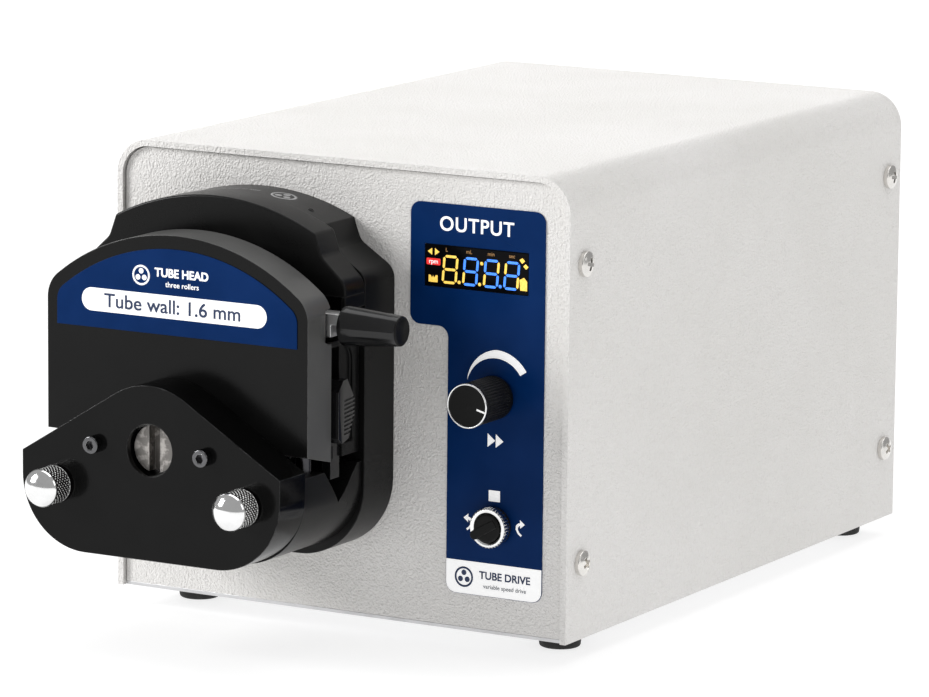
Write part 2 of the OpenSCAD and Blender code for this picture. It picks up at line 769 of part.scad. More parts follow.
// A ring with an ear for the screw on each side.
module retainer_outline(grow) {
    ear_x = plate_screw_x + 5 + grow;
    ear_z = 5 + grow;
    circle(15 + grow);
    rounded_box(-ear_x, -ear_z, ear_x, ear_z, 4);
}

module bearing_retainer() color("silver") in_head()
    extrude_y(bearing_back, bearing_back + retainer_t) difference() {
        retainer_outline(0);
        circle(9);
        for (s = [-1, 1]) translate([s * plate_screw_x, 0]) circle(d = m3_d);
    }

module plate_screws() color("silver") in_head() for (s = [-1, 1])
    translate([s * plate_screw_x, plate_front, 0]) rotate([90, 0, 0])
        cap_screw(m3_d, m3_head_d, m3_head_h, plate_t - 0.5);

module bearing(outer_d, inner_d, from) difference() {
    bar_y(outer_d, from, from + bearing_t);
    bar_y(inner_d + 2 * slip, from - over, from + bearing_t + over);
}

module front_bearing() color("silver") in_head()
    bearing(front_bearing_d, journal_d - 0.1, bearing_back - bearing_t);

module rear_bearing() color("silver") in_head() bearing(rear_bearing_d, shaft_d, base_front);

module guide_rods() color("silver") in_head() for (s = [-1, 1])
    translate([s * rod_x, rod_y, rod_low]) cylinder(d = rod_d, h = rod_high - rod_low);

module cam_pin() color("silver") in_head()
    bar_y(pin_d, cam_y - 0.3, cam_pocket_back + 4, 0, pivot_z + cam_r_min + lift);

// ---- Pump head: the lifting block ----

module block_cover() color("gray") in_head() {
    half = head_half + 0.4;
    wall = 3;
    crown_r = 70;
    apex = 64.8;
    corner_r = 10;
    inner_y = cover_front + wall;
    rod_bore_top = 32;
    scoop_d = 11;  // finger recess in the side, in front of the lever
    scoop_depth = 2.2;
    low = bed_bottom - 2 * over;
    fall = bed_bottom / cover_d;  // of the lower edge, for each millimetre towards the back
    difference() {
        extrude_y(cover_front, cover_back) crowned(half, low, apex, crown_r, corner_r);
        extrude_x(-2 * half, 2 * half) polygon([[cover_front - over, -fall * over],
            [cover_back + over, fall * (cover_d + over)], [cover_back + over, low - over],
            [cover_front - over, low - over]]);
        extrude_y(inner_y, cover_back + over) difference() {
            crowned(half - wall, bed_top, apex - wall, crown_r - wall, corner_r - wall);
            translate([0, pivot_z]) circle(lever_shaft_d);
            translate([-lever_shaft_d, 0]) square([2 * lever_shaft_d, pivot_z]);
        }
        bar_y(lever_shaft_d + 2 * slip, inner_y, cover_back + over, 0, pivot_z);
        bar_y(2 * bed_r, inner_y, cover_back + over);
        extrude_y(inner_y, cover_back + over) translate([-bed_r, low - over])
            square([2 * bed_r, over - low]);
        bar_y(shaft_d + 3, cover_front - over, cover_back);
        for (s = [0, 1]) mirror([s, 0, 0]) {
            translate([rod_x, rod_y, low]) cylinder(d = rod_d + 2 * slip, h = rod_bore_top - low);
            bar_x(scoop_d, half - scoop_depth, half + over, cover_back - 0.5, pivot_z);
        }
    }
}

module occlusion_bed() color("dimgray") in_head() difference() {
    union() {
        extrude_y(cover_back, bed_back) translate([-bed_half, bed_bottom])
            square([2 * bed_half, bed_top - bed_bottom]);
        extrude_y(arch_front + play, bed_back) {
            translate([0, pivot_z]) circle(hub_r);
            translate([-hub_r, bed_top - over]) square([2 * hub_r, pivot_z - bed_top + over]);
        }
    }
    bar_y(2 * bed_r, cover_back - over, bed_back + over);
    translate([-bed_r, cover_back - over, bed_bottom - over])
        cube([2 * bed_r, bed_back - cover_back + 2 * over, over - bed_bottom]);
    bar_y(lever_shaft_d + 2 * slip, cover_back, bed_back + over, 0, pivot_z);
    bar_y(2 * hub_r + 1, cover_back - over, arm_back + 0.3, 0, pivot_z);
    for (s = [0, 1]) mirror([s, 0, 0]) {
        extrude_x(retainer_x, bed_half + over) translate([tube_y - stem_w / 2 - 0.1, bed_bottom - over])
            square([stem_w + 0.2, 35.5]);
        extrude_x(bed_half - 1.2, bed_half + over)
            rounded([[-35.6, 0.8], [-20.6, 0.8], [-20.6, 31.8], [-35.6, 31.8]], [1, 1, 6, 1]);
    }
}

retainer_x = 41.8;    // inner face of the tube retainer's stem
stem_w = 5.2;
retainer_low = -10;   // where the retainer's foot holds the tube down

// A tube retainer on the right side: a serrated button on a stem with a foot.
module tube_retainer() {
    rib_count = 9;
    rib_pitch = 1.3;
    rib_depth = 0.6;
    button_in = bed_half - 1.1;
    button_out = bed_half + 3.4;
    difference() {
        extrude_x(button_in, button_out) polygon([[-34.9, 3.5], [-33, 1.8], [-27.5, 2.6],
            [-22.3, 9], [-22.3, 14.5], [-28.5, 21.5], [-32, 21.5], [-34.9, 18]]);
        translate([button_out, -32.5, 0]) rotate([0, 0, 10]) {
            translate([0, -over, -over]) cube([6, 20, 30]);
            for (i = [0:rib_count - 1]) translate([-rib_depth, 1.4, 4.2 + rib_pitch * i])
                cube([rib_depth + over, 12, rib_pitch / 2]);
        }
    }
    extrude_x(retainer_x + 0.1, button_in) translate([tube_y - stem_w / 2, retainer_low])
        square([stem_w, 21 - retainer_low]);
}

module right_tube_retainer() color("dimgray") in_head() tube_retainer();
module left_tube_retainer() color("dimgray") in_head() mirror([1, 0, 0]) tube_retainer();

module head_label() color("midnightblue") in_head() extrude_y(cover_front - 0.3, cover_front)
    crowned(43.8, 33.5, 60.5, 66, 6);

// ---- Pump head: lever and cam ----

module lever_arm() color("silver") in_head() difference() {
    bar_h = 7.4;
    step_l = 3.6;  // the lower half of the bar stops short of the grip
    step_z = 0.3;
    extrude_y(arm_front, arm_back) {
        translate([0, pivot_z]) circle(hub_r);
        translate([0, pivot_z - bar_h / 2]) square([lever_len, bar_h]);
    }
    bar_y(lever_shaft_d, arm_front - over, arm_back + over, 0, pivot_z);
    translate([lever_len - step_l, arm_front - over, pivot_z - bar_h])
        cube([step_l + over, arm_back - arm_front + 2 * over, bar_h + step_z]);
}

module lever_grip() color("black") in_head() translate([lever_len, (arm_front + arm_back) / 2, pivot_z])
    rotate([0, 90, 0]) cylinder(d1 = 12.9, d2 = 9.4, h = grip_len);

module lever_shaft() color("silver") in_head() {
    bar_y(lever_shaft_d, cover_front + 3.2, cam_y, 0, pivot_z);
    bar_y(cam_bore_d, cam_y, cam_y + cam_t, 0, pivot_z);
}

// The slot's distance from the lever axis falls evenly over half a turn, so the
// block rises in proportion to the lever's angle.
function slot_r(a) = cam_r_min + lift * (a + 90) / 180;
function slot_point(a, side) =
    let (slope = lift / PI, r = slot_r(a), along = unit([slope, r]))
    (r + side * along[1]) * [cos(a), sin(a)] - side * along[0] * [-sin(a), cos(a)];
function slot_band(half) = concat([for (a = [-90:6:90]) slot_point(a, half)],
    [for (a = [90:-6:-90]) slot_point(a, -half)]);

module slot_outline(half) {
    end_r = half + 0.02;  // a little over half of the width, so that the ends cross the sides
    polygon(slot_band(half));
    for (a = [-90, 90]) translate(slot_r(a) * [cos(a), sin(a)]) circle(end_r);
}

module cam_disc() color("silver") in_head() translate([0, 0, pivot_z])
    extrude_y(cam_y, cam_y + cam_t) difference() {
        union() {
            slot_outline(slot_half + cam_wall);
            polygon(concat([[0, 0]], [for (a = [-90:6:90]) slot_r(a) * [cos(a), sin(a)]]));
            circle(cam_r_min);
        }
        slot_outline(slot_half);
        circle(d = cam_bore_d);
    }

// ---- Pump head: rotor ----

// A slotted journal in front and a flat tang behind, on one stepped shaft.
module rotor_shaft() color("silver") in_head() {
    difference() {
        bar_y(journal_d - 0.1, shaft_front, bearing_back + 0.5);
        translate([-slot_w / 2, shaft_front - over, -journal_d])
            cube([slot_w, 3.5 + over, 2 * journal_d]);
    }
    bar_y(shaft_d, bearing_back + 0.5, coupling_front - 0.8);
    intersection() {
        bar_y(shaft_d, coupling_front - 0.8, tang_back);
        translate([-tang_t / 2, coupling_front - over, -shaft_d]) cube([tang_t, 10, 2 * shaft_d]);
    }
}

module roller_places() for (i = [0:roller_count - 1]) rotate([0, -90 + i * 360 / roller_count, 0])
    translate([roller_pitch, 0, 0]) children();

module rotor_disc(front) difference() {
    bar_y(2 * disc_r, front, front + disc_t);
    bar_y(shaft_d, front - over, front + disc_t + over);
    roller_places() bar_y(4, front - over, front + disc_t + over);
}

module rotor_discs() color("gray") in_head() {
    rotor_disc(front_disc_y - disc_t);
    rotor_disc(rear_disc_y - disc_t);
}

module roller_axles() color("silver") in_head() roller_places()
    bar_y(4, front_disc_y - disc_t, rear_disc_y);

module roller(i) in_head() rotate([0, -90 + i * 360 / roller_count, 0])
    translate([roller_pitch, 0, 0]) difference() {
        bar_y(roller_d, roller_front, roller_back);
        bar_y(4 + 2 * slip, roller_front - over, roller_back + over);
    }

module roller_1() color("silver") roller(0);
module roller_2() color("silver") roller(1);
module roller_3() color("silver") roller(2);

// ---- Thumb screws ----

module thumb_screw(x) in_head() translate([x, 0, thumb_z]) {
    dome_r = (pow(thumb_d / 2, 2) + pow(thumb_dome, 2)) / (2 * thumb_dome);
    knurl_front = plate_front - thumb_knurl;
    intersection() {
        bar_y(thumb_d, knurl_front - thumb_dome, knurl_front);
        translate([0, knurl_front - thumb_dome + dome_r, 0]) sphere(dome_r);
    }
    bar_y(thumb_d, knurl_front, plate_front - thumb_neck);
    bar_y(9, plate_front - thumb_neck, plate_front);
    bar_y(thumb_thread, plate_front, plate_back + 9);
}

module left_thumb_screw() color("silver") thumb_screw(-thumb_x);
module right_thumb_screw() color("silver") thumb_screw(thumb_x);

top_cover();
chassis_base();
front_panel();
rear_panel();
cover_screws();
rubber_feet();
control_label();
display_window();
display_module();
control_board();
board_standoffs();
encoder_body();
selector_body();
selector_bezel();
motor_plate();
motor_front_cap();
motor_stack();
motor_rear_cap();
motor_screws();
head_mount_screws();
power_supply();
power_inlet();
rocker_frame();
data_socket();
fan_frame();
rear_screws();
speed_knob();
encoder_shaft();
selector_knob();
power_rocker();
fan_rotor();
head_base_plate();
arch_frame();
lower_body();
front_plate();
plate_screws();
bearing_retainer();
front_bearing();
rear_bearing();
guide_rods();
cam_pin();
block_cover();
occlusion_bed();
head_label();
lever_arm();
lever_shaft();
cam_disc();
lever_grip();
left_tube_retainer();
right_tube_retainer();
rotor_shaft();
rotor_discs();
roller_axles();
roller_1();
roller_2();
roller_3();
drive_coupling();
motor_shaft();
left_thumb_screw();
right_thumb_screw();
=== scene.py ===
"""The looks of a bench peristaltic pump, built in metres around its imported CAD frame."""
from math import asin, copysign, cos, degrees, exp, floor, hypot, pi, radians, remainder, sin, sqrt

import bmesh
import bpy
from mathutils import Matrix, Vector


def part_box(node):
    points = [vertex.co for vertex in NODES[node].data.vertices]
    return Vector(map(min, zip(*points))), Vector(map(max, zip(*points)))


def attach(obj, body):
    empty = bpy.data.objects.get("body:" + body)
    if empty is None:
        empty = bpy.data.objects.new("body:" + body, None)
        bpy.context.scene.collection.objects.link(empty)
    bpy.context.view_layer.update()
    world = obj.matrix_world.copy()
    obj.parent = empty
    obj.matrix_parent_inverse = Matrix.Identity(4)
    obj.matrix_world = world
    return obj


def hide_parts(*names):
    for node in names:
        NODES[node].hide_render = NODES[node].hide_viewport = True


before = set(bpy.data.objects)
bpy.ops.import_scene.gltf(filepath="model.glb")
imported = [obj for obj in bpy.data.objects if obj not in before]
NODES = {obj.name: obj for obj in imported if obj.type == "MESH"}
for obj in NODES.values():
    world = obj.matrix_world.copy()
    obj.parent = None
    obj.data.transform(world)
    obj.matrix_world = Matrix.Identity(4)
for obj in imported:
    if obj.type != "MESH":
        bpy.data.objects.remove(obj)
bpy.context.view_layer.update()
MM = 0.001


def middle(node):
    low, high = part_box(node)
    return (low + high) / 2


HEAD = middle("rotor_shaft")              # the rotor axis runs through here, along Y
CABINET_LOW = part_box("top_cover")[0].z
LABEL_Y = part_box("control_label")[0].y
KNOB = middle("speed_knob")
SELECTOR = middle("selector_bezel")
PIVOT = middle("lever_shaft")
BASE_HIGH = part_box("head_base_plate")[1]
FRONT = Vector((0, -1, 0))                # the way that the control panel faces
PAD = 0.02 * MM                           # how far a print reaches into what it is printed on
CROWN_RADIUS = 79 * MM                    # of the base plate's top
PRINT = 0.05 * MM                         # how far a print stands out
SAME_POINT = 1e-6                         # corners nearer than this are one corner


def link(obj):
    bpy.context.scene.collection.objects.link(obj)
    return obj


# ---- Camera, light and stage ----

CAMERA_AZIMUTH = radians(29.6)
CAMERA_ELEVATION = radians(10.22)
CAMERA_ROLL = radians(0.53)
CAMERA_PLACE = Vector((0.9078, -1.5984, 0.4114))
CAMERA_LENS = 221.65
SENSOR_WIDTH = 36.0
WORLD_LIGHT = 0.38
LIGHT_TARGET = Vector((0, 0, 0.07))
FLOOR_GLOW = 0.74
FLOOR_TONE = 0.35
FLOOR_RADIUS = 9
# name: place, size and power in watts
SOFTBOXES = {
    "overhead": ((0.1, 0.3, 1.5), (1.5, 1.5), 12.5),
    "left_front": ((-1.35, -1.0, 0.85), (0.6, 0.8), 26),
    "right_side": ((1.6, 0.1, 0.85), (1.2, 0.8), 4),
    "rear_strip": ((-1.0, 1.6, 0.35), (1.4, 0.35), 3.5),
}


def make_camera():
    data = bpy.data.cameras.new("camera")
    data.lens = CAMERA_LENS
    data.sensor_width = SENSOR_WIDTH
    camera = link(bpy.data.objects.new("camera", data))
    flat = cos(CAMERA_ELEVATION)
    back = Vector((sin(CAMERA_AZIMUTH) * flat, -cos(CAMERA_AZIMUTH) * flat,
                   sin(CAMERA_ELEVATION)))
    right = Vector((cos(CAMERA_AZIMUTH), sin(CAMERA_AZIMUTH), 0))
    turned = Matrix.Rotation(CAMERA_ROLL, 3, back)
    right = turned @ right
    up = back.cross(right)
    aim = Matrix((right, up, back)).transposed().to_4x4()
    camera.matrix_world = Matrix.Translation(CAMERA_PLACE) @ aim
    bpy.context.scene.camera = camera


def light_the_scene():
    scene = bpy.context.scene
    scene.view_settings.view_transform = "Standard"
    scene.world = bpy.data.worlds.new("studio")
    scene.world.use_nodes = True
    background = scene.world.node_tree.nodes["Background"]
    background.inputs["Color"].default_value = (1, 1, 1, 1)
    background.inputs["Strength"].default_value = WORLD_LIGHT
    for name, (place, size, power) in SOFTBOXES.items():
        data = bpy.data.lights.new(name, "AREA")
        data.shape = "RECTANGLE"
        data.size, data.size_y = size
        data.energy = power
        lamp = link(bpy.data.objects.new(name, data))
        lamp.location = place
        lamp.rotation_euler = (LIGHT_TARGET - Vector(place)).to_track_quat("-Z", "Y").to_euler()


def make_floor():
    """One round pale sheet that fills the view, so that the pump stands on white."""
    bm = bmesh.new()
    bmesh.ops.create_circle(bm, cap_ends=True, segments=96, radius=FLOOR_RADIUS)
    mesh = bpy.data.meshes.new("floor")
    bm.to_mesh(mesh)
    bm.free()
    floor = link(bpy.data.objects.new("floor", mesh))
    mesh.materials.append(Finish("pale_floor").set(
        Base_Color=(FLOOR_TONE, FLOOR_TONE, FLOOR_TONE), Roughness=0.75, Specular_IOR_Level=0.1,
        Emission_Color=(1, 1, 1), Emission_Strength=FLOOR_GLOW))


# ---- Finishes: every one is built from procedural nodes in object space, in metres ----

def srgb(red, green, blue):
    """A colour given from 0 to 255, as the linear values that nodes take."""
    def linear(value):
        value /= 255
        return value / 12.92 if value <= 0.04045 else ((value + 0.055) / 1.055) ** 2.4
    return (linear(red), linear(green), linear(blue))


class Finish:
    """A Principled material with helpers that chain texture nodes."""

    def __init__(self, name):
        self.material = bpy.data.materials.new(name)
        self.material.use_nodes = True
        self.tree = self.material.node_tree
        self.shader = self.tree.nodes["Principled BSDF"]
        self.place = self.node("TexCoord", {}).outputs["Object"]
        self.relief = None

    def feed(self, socket, value):
        if isinstance(value, bpy.types.NodeSocket):
            self.tree.links.new(value, socket)
        elif isinstance(value, tuple) and len(value) == 3 and socket.type == "RGBA":
            socket.default_value = (*value, 1)
        else:
            socket.default_value = value

    def node(self, kind, inputs, **settings):
        """A new node with its settings made and its inputs fed, each by name or number."""
        node = self.tree.nodes.new("ShaderNode" + kind)
        for name, value in settings.items():
            setattr(node, name, value)
        for socket, value in inputs.items():
            self.feed(node.inputs[socket], value)
        return node

    def noise(self, size, detail=3.0, rough=0.5, stretch=None, warp=0.0):
        """Cloudy noise with features about size metres across, from 0 to 1."""
        place = self.place
        if stretch:
            place = self.node("Mapping", {"Vector": place, "Scale": stretch}).outputs[0]
        return self.node("TexNoise", {"Vector": place, "Scale": 1 / size, "Detail": detail,
                                      "Roughness": rough, "Distortion": warp}).outputs[0]

    def cells(self, size, feature, **more):
        """Cells about size metres across."""
        inputs = {"Vector": self.place, "Scale": 1 / size, **more}
        return self.node("TexVoronoi", inputs, feature=feature).outputs[0]

    def rings(self, centre, axis, size):
        """Fine turned rings about an axis through a point."""
        place = self.node("VectorMath", {0: self.place, 1: centre}, operation="SUBTRACT").outputs[0]
        wave = self.node("TexWave", {"Vector": place, "Scale": 0.314 / size, "Distortion": 0.6,
                                     "Detail": 2}, wave_type="RINGS", rings_direction=axis)
        return wave.outputs["Fac"]

    def remap(self, value, low, high, to_low=0.0, to_high=1.0):
        return self.node("MapRange", dict(enumerate((value, low, high, to_low, to_high)))).outputs[0]

    def combine(self, operation, first, second):
        return self.node("Math", {0: first, 1: second}, operation=operation).outputs[0]

    def blend(self, share, first, second):
        """Colour first where share is 0 and second where it is 1."""
        return self.node("Mix", {0: share, 6: first, 7: second}, data_type="RGBA").outputs[2]

    def edges(self, radius):
        """1 along the object's sharp edges, fading to 0 at about radius from them."""
        bevel = self.node("Bevel", {"Radius": radius}, samples=4)
        normal = self.node("NewGeometry", {}).outputs["Normal"]
        dot = self.node("VectorMath", {0: bevel.outputs[0], 1: normal}, operation="DOT_PRODUCT")
        return self.remap(dot.outputs["Value"], 1.0, 0.8)

    def edges_worn_and_highlit(self, color, edge_tone, radius, amount):
        """The colour, paler in patches along its edges: slight wear, and a painted highlight where the
        edges would catch the light.
        """
        patches = self.remap(self.noise(2.5 * MM, detail=4), 0.35, 0.75)
        share = self.combine("MULTIPLY", self.edges(radius), self.combine("MULTIPLY", patches, amount))
        return self.blend(share, color, edge_tone)

    def emboss(self, height, depth, strength=1.0):
        """Adds a bump of that depth in metres on top of the bumps so far."""
        bump = self.node("Bump", {"Distance": depth, "Strength": strength, "Height": height})
        if self.relief is not None:
            self.feed(bump.inputs["Normal"], self.relief)
        self.relief = bump.outputs[0]
        self.feed(self.shader.inputs["Normal"], self.relief)

    def set(self, **values):
        for name, value in values.items():
            self.feed(self.shader.inputs[name.replace("_", " ")], value)
        return self.material


def cabinet_paint():
    """Off-white powder coat with a fine leathery wrinkle, its hollows painted darker as shade."""
    f = Finish("cabinet_paint")
    wrinkle = f.noise(0.75 * MM, detail=3, rough=0.5, stretch=(1, 1, 0.6), warp=0.8)
    pits = f.cells(0.65 * MM, "SMOOTH_F1", Smoothness=0.5)
    drift = f.noise(60 * MM, detail=2)
    tone = f.blend(f.remap(drift, 0.3, 0.7), srgb(230, 228, 225), srgb(236, 234, 232))
    # painted shade: the wrinkle's hollows are darkened
    tone = f.blend(f.remap(wrinkle, 0.25, 0.5, 0.22, 0), tone, srgb(196, 192, 186))
    tone = f.edges_worn_and_highlit(tone, srgb(246, 245, 243), 0.5 * MM, 0.35)
    f.emboss(wrinkle, 0.4 * MM, 0.9)
    f.emboss(pits, 0.3 * MM, 0.8)
    return f.set(Base_Color=tone, Roughness=f.remap(wrinkle, 0.2, 0.8, 0.38, 0.58))


def moulded_black(name, tone, sheen_tone, rough, grain=0.32, shine=0.2, wear_and_highlight=0.5):
    """Black moulded plastic: a fine spark-eroded grain, faint rub marks and paler edges, partly wear
    and partly painted highlight.
    """
    f = Finish(name)
    speck = f.noise(0.35 * MM, detail=2)
    rub = f.noise(24 * MM, detail=5, rough=0.62, warp=0.4)
    dust = f.remap(f.noise(0.8 * MM, detail=6, rough=0.8), 0.66, 0.82)
    color = f.blend(f.remap(rub, 0.3, 0.75), tone, sheen_tone)
    color = f.blend(f.combine("MULTIPLY", dust, 0.04), color, srgb(150, 148, 144))
    # paler edges: part wear, part painted highlight
    color = f.edges_worn_and_highlit(color, srgb(150, 150, 150), 0.3 * MM, wear_and_highlight)
    f.emboss(speck, 0.06 * MM, grain)
    roughness = f.combine("ADD", f.remap(rub, 0.25, 0.75, rough - 0.05, rough + 0.06),
                          f.remap(speck, 0.2, 0.8, -0.03, 0.03))
    return f.set(Base_Color=color, Roughness=roughness, Specular_IOR_Level=shine)


def bare_metal(name, tone, rough, lines, line_size, depth, dull=(0.42, 0.42, 0.42)):
    """Bare or plated metal with fine machining lines, soft stains and bright edges."""
    f = Finish(name)
    brushed = f.noise(line_size * MM, detail=4, stretch=lines)
    stain = f.noise(7 * MM, detail=5, rough=0.6)
    color = f.blend(f.remap(stain, 0.45, 0.8, 0, 0.35), tone, dull)
    color = f.edges_worn_and_highlit(color, (0.93, 0.93, 0.92), 0.25 * MM, 0.8)
    f.emboss(brushed, depth * MM, 0.5)
    roughness = f.combine("ADD", f.remap(brushed, 0.2, 0.8, rough - 0.05, rough + 0.07),
                          f.remap(stain, 0.4, 0.8, 0, 0.1))
    return f.set(Base_Color=color, Metallic=1.0, Roughness=roughness)


def knurled_chrome():
    """Plating on a knurl, with painted shade in its grooves and bright ridges, part wear and part
    painted glint.
    """
    f = Finish("knurled_chrome")
    hollow = f.node("NewGeometry", {}).outputs["Pointiness"]
    speck = f.noise(0.5 * MM, detail=3)
    # painted shade: the knurl's grooves are darkened by their pointiness
    groove_shade = f.remap(hollow, 0.5, 0.46)
    color = f.blend(f.combine("MULTIPLY", groove_shade, 0.95), (0.2, 0.2, 0.195), (0.02, 0.02, 0.019))
    # painted glints: the ridges are made near white, together with their wear
    color = f.blend(f.remap(hollow, 0.51, 0.56, 0, 0.9), color, (0.97, 0.97, 0.96))
    f.emboss(speck, 0.01 * MM, 0.4)
    return f.set(Base_Color=color, Metallic=1.0, Roughness=f.remap(speck, 0.3, 0.8, 0.18, 0.3))


def shaft_face():
    """Metal faced on a lathe: fine rings about the rotor's axis."""
    f = Finish("shaft_face")
    tone = (0.2, 0.19, 0.18)
    ring = f.rings(HEAD, "Y", 0.18 * MM)
    stain = f.noise(3 * MM, detail=5, rough=0.65)
    color = f.blend(f.remap(ring, 0, 1, 0, 0.35), tone, tuple(c * 0.4 for c in tone))
    bright = tuple(c * 2.6 for c in tone)
    color = f.blend(f.remap(stain, 0.5, 0.62, 0, 0.75), color, bright)
    color = f.edges_worn_and_highlit(color, (0.95, 0.95, 0.94), 0.2 * MM, 0.8)
    f.emboss(ring, 0.02 * MM, 0.55)
    return f.set(Base_Color=color, Metallic=1.0, Roughness=f.remap(stain, 0.3, 0.8, 0.3, 0.44))


def label_film():
    """A navy polycarbonate overlay, printed on its back: slight orange peel, faint mottling."""
    f = Finish("label_navy")
    tone = srgb(0, 37, 86)
    peel = f.noise(1.1 * MM, detail=2)
    mottle = f.noise(14 * MM, detail=3)
    grain = f.noise(0.22 * MM, detail=1)
    lighter = tuple(c * 1.22 + 0.002 for c in tone)
    color = f.blend(f.remap(mottle, 0.3, 0.7), tone, lighter)
    color = f.blend(f.remap(grain, 0.55, 0.8, 0, 0.12), color, lighter)
    f.emboss(peel, 0.05 * MM, 0.16)
    return f.set(Base_Color=color, Roughness=f.remap(peel, 0.2, 0.8, 0.3, 0.39),
                 Specular_IOR_Level=0.06)


def ink(name, tone, glow):
    """Screen-printed ink with a slightly uneven coat. A little glow is painted light that lifts a
    white ink to full white.
    """
    f = Finish(name)
    coat = f.noise(0.6 * MM, detail=4)
    darker = tuple(c * 0.93 for c in tone)
    f.emboss(coat, 0.02 * MM, 0.3)
    color = f.blend(f.remap(coat, 0.35, 0.75), tone, darker)
    return f.set(Base_Color=color, Emission_Color=color, Emission_Strength=glow,
                 Roughness=f.remap(coat, 0.2, 0.8, 0.4, 0.55))


def lit_segment(name, tone, strength):
    """A glowing display segment, a little brighter in places."""
    f = Finish(name)
    patch = f.noise(0.5 * MM, detail=2)
    brighter = tuple(min(1.0, c * 1.25 + 0.03) for c in tone)
    color = f.blend(f.remap(patch, 0.3, 0.7), tone, brighter)
    return f.set(Base_Color=color, Emission_Color=color, Emission_Strength=strength, Roughness=0.5)


def smoked_window():
    """Dark glossy window plastic with hairline scratches."""
    f = Finish("window_plastic")
    scratch = f.remap(f.noise(0.5 * MM, detail=5, stretch=(1, 1, 7), warp=1.5), 0.62, 0.7)
    smudge = f.noise(9 * MM, detail=4)
    f.emboss(scratch, 0.01 * MM, 0.3)
    color = f.blend(f.remap(smudge, 0.3, 0.8), (0.0015, 0.0015, 0.002), (0.004, 0.004, 0.005))
    roughness = f.combine("ADD", f.remap(smudge, 0.3, 0.8, 0.08, 0.2),
                          f.combine("MULTIPLY", scratch, 0.15))
    return f.set(Base_Color=color, Roughness=roughness, Specular_IOR_Level=0.06)


def foot_rubber():
    """Black rubber with pale dust worn into it."""
    f = Finish("foot_rubber")
    grain = f.noise(0.5 * MM, detail=4)
    dust = f.remap(f.noise(3 * MM, detail=5), 0.5, 0.85)
    color = f.blend(f.combine("MULTIPLY", dust, 0.4), (0.012, 0.012, 0.012), (0.07, 0.068, 0.064))
    color = f.edges_worn_and_highlit(color, (0.1, 0.1, 0.1), 0.5 * MM, 0.6)
    f.emboss(grain, 0.1 * MM, 0.4)
    return f.set(Base_Color=color, Roughness=f.remap(grain, 0.2, 0.8, 0.6, 0.85))


def circuit_board():
    """Green solder mask with tracks in relief."""
    f = Finish("board")
    track = f.remap(f.cells(3 * MM, "DISTANCE_TO_EDGE"), 0.05, 0.09)
    weave = f.noise(0.4 * MM, detail=2, stretch=(1, 1, 3))
    color = f.blend(track, srgb(38, 112, 62), srgb(12, 66, 36))
    f.emboss(track, 0.05 * MM, 0.5)
    f.emboss(weave, 0.02 * MM, 0.3)
    return f.set(Base_Color=color, Roughness=f.remap(weave, 0.2, 0.8, 0.3, 0.45))


# name: tone and rubbed tone from 0 to 255, roughness, then grain, shine and edge wear where they
# differ; the edge wear is also a painted highlight
MOULDED = {
    "head_plastic": ((12, 12, 12), (18, 18, 18), 0.3, 0.32, 0.16),
    # the cover and front plate take the strongest pale edges, painted highlights along their edges
    "cover_plastic": ((8, 8, 8), (14, 14, 14), 0.2, 0.2, 0.16, 0.9),
    "plate_plastic": ((7, 7, 7), (12, 12, 12), 0.14, 0.12, 0.14, 1.0),
    # the block cover's sides and top: a paler grey that paints on the sheen of the light falling on
    # them
    "cover_side_sheen": ((72, 72, 71), (84, 84, 83), 0.36, 0.3, 0.5),
    "gloss_plastic": ((16, 16, 17), (24, 24, 25), 0.14, 0.12, 0.4),
    "knob_plastic": ((12, 12, 12), (20, 20, 20), 0.4, 0.4, 0.15),
    "switch_plastic": ((26, 26, 27), (38, 38, 39), 0.42),
    "rocker_plastic": ((120, 16, 14), (150, 24, 20), 0.3),
}
# name: tone from 0 to 1, roughness, stretch, size and depth of its lines, and stained tone
METALS = {
    "plated_sheet": ((0.66, 0.66, 0.67), 0.36, (1, 9, 1), 0.6, 0.03),
    "nickel": ((0.78, 0.76, 0.73), 0.16, (1, 1, 1), 0.5, 0.012),
    "chrome": ((0.88, 0.88, 0.88), 0.07, (1, 1, 1), 0.8, 0.008),
    "satin_steel": ((0.9, 0.9, 0.9), 0.4, (1, 1, 6), 0.3, 0.02),
    "black_rod": ((0.06, 0.06, 0.065), 0.2, (6, 6, 1), 0.3, 0.01, (0.03, 0.03, 0.03)),
    "dark_steel": ((0.13, 0.13, 0.135), 0.16, (1, 1, 1), 0.4, 0.015, (0.05, 0.05, 0.05)),
    "ground_steel": ((0.62, 0.61, 0.59), 0.22, (1, 6, 1), 0.3, 0.015),
    "roller_steel": ((0.72, 0.72, 0.72), 0.12, (1, 5, 1), 0.3, 0.01),
    "rotor_aluminium": ((0.74, 0.75, 0.76), 0.3, (1, 1, 1), 0.35, 0.03),
    "motor_aluminium": ((0.6, 0.61, 0.62), 0.34, (3, 1, 3), 0.6, 0.05),
    "motor_steel": ((0.3, 0.3, 0.31), 0.4, (1, 30, 1), 0.6, 0.05, (0.18, 0.17, 0.16)),
    "brass": ((0.75, 0.56, 0.25), 0.26, (1, 1, 1), 0.4, 0.02, (0.4, 0.28, 0.1)),
}
# name: tone from 0 to 255 and glow, painted light that lifts the white to full white
INKS = {
    "white_ink": ((250, 250, 250), 0.3), "navy_ink": ((20, 44, 84), 0.0),
    "grey_ink": ((128, 132, 138), 0.0), "pale_ink": ((150, 150, 150), 0.0),
}
LIT_SEGMENTS = {
    "yellow_light": ((236, 190, 78), 0.6), "blue_light": ((52, 124, 246), 0.75),
    "red_light": ((222, 26, 22), 0.45), "amber_light": ((150, 110, 60), 0.2),
}


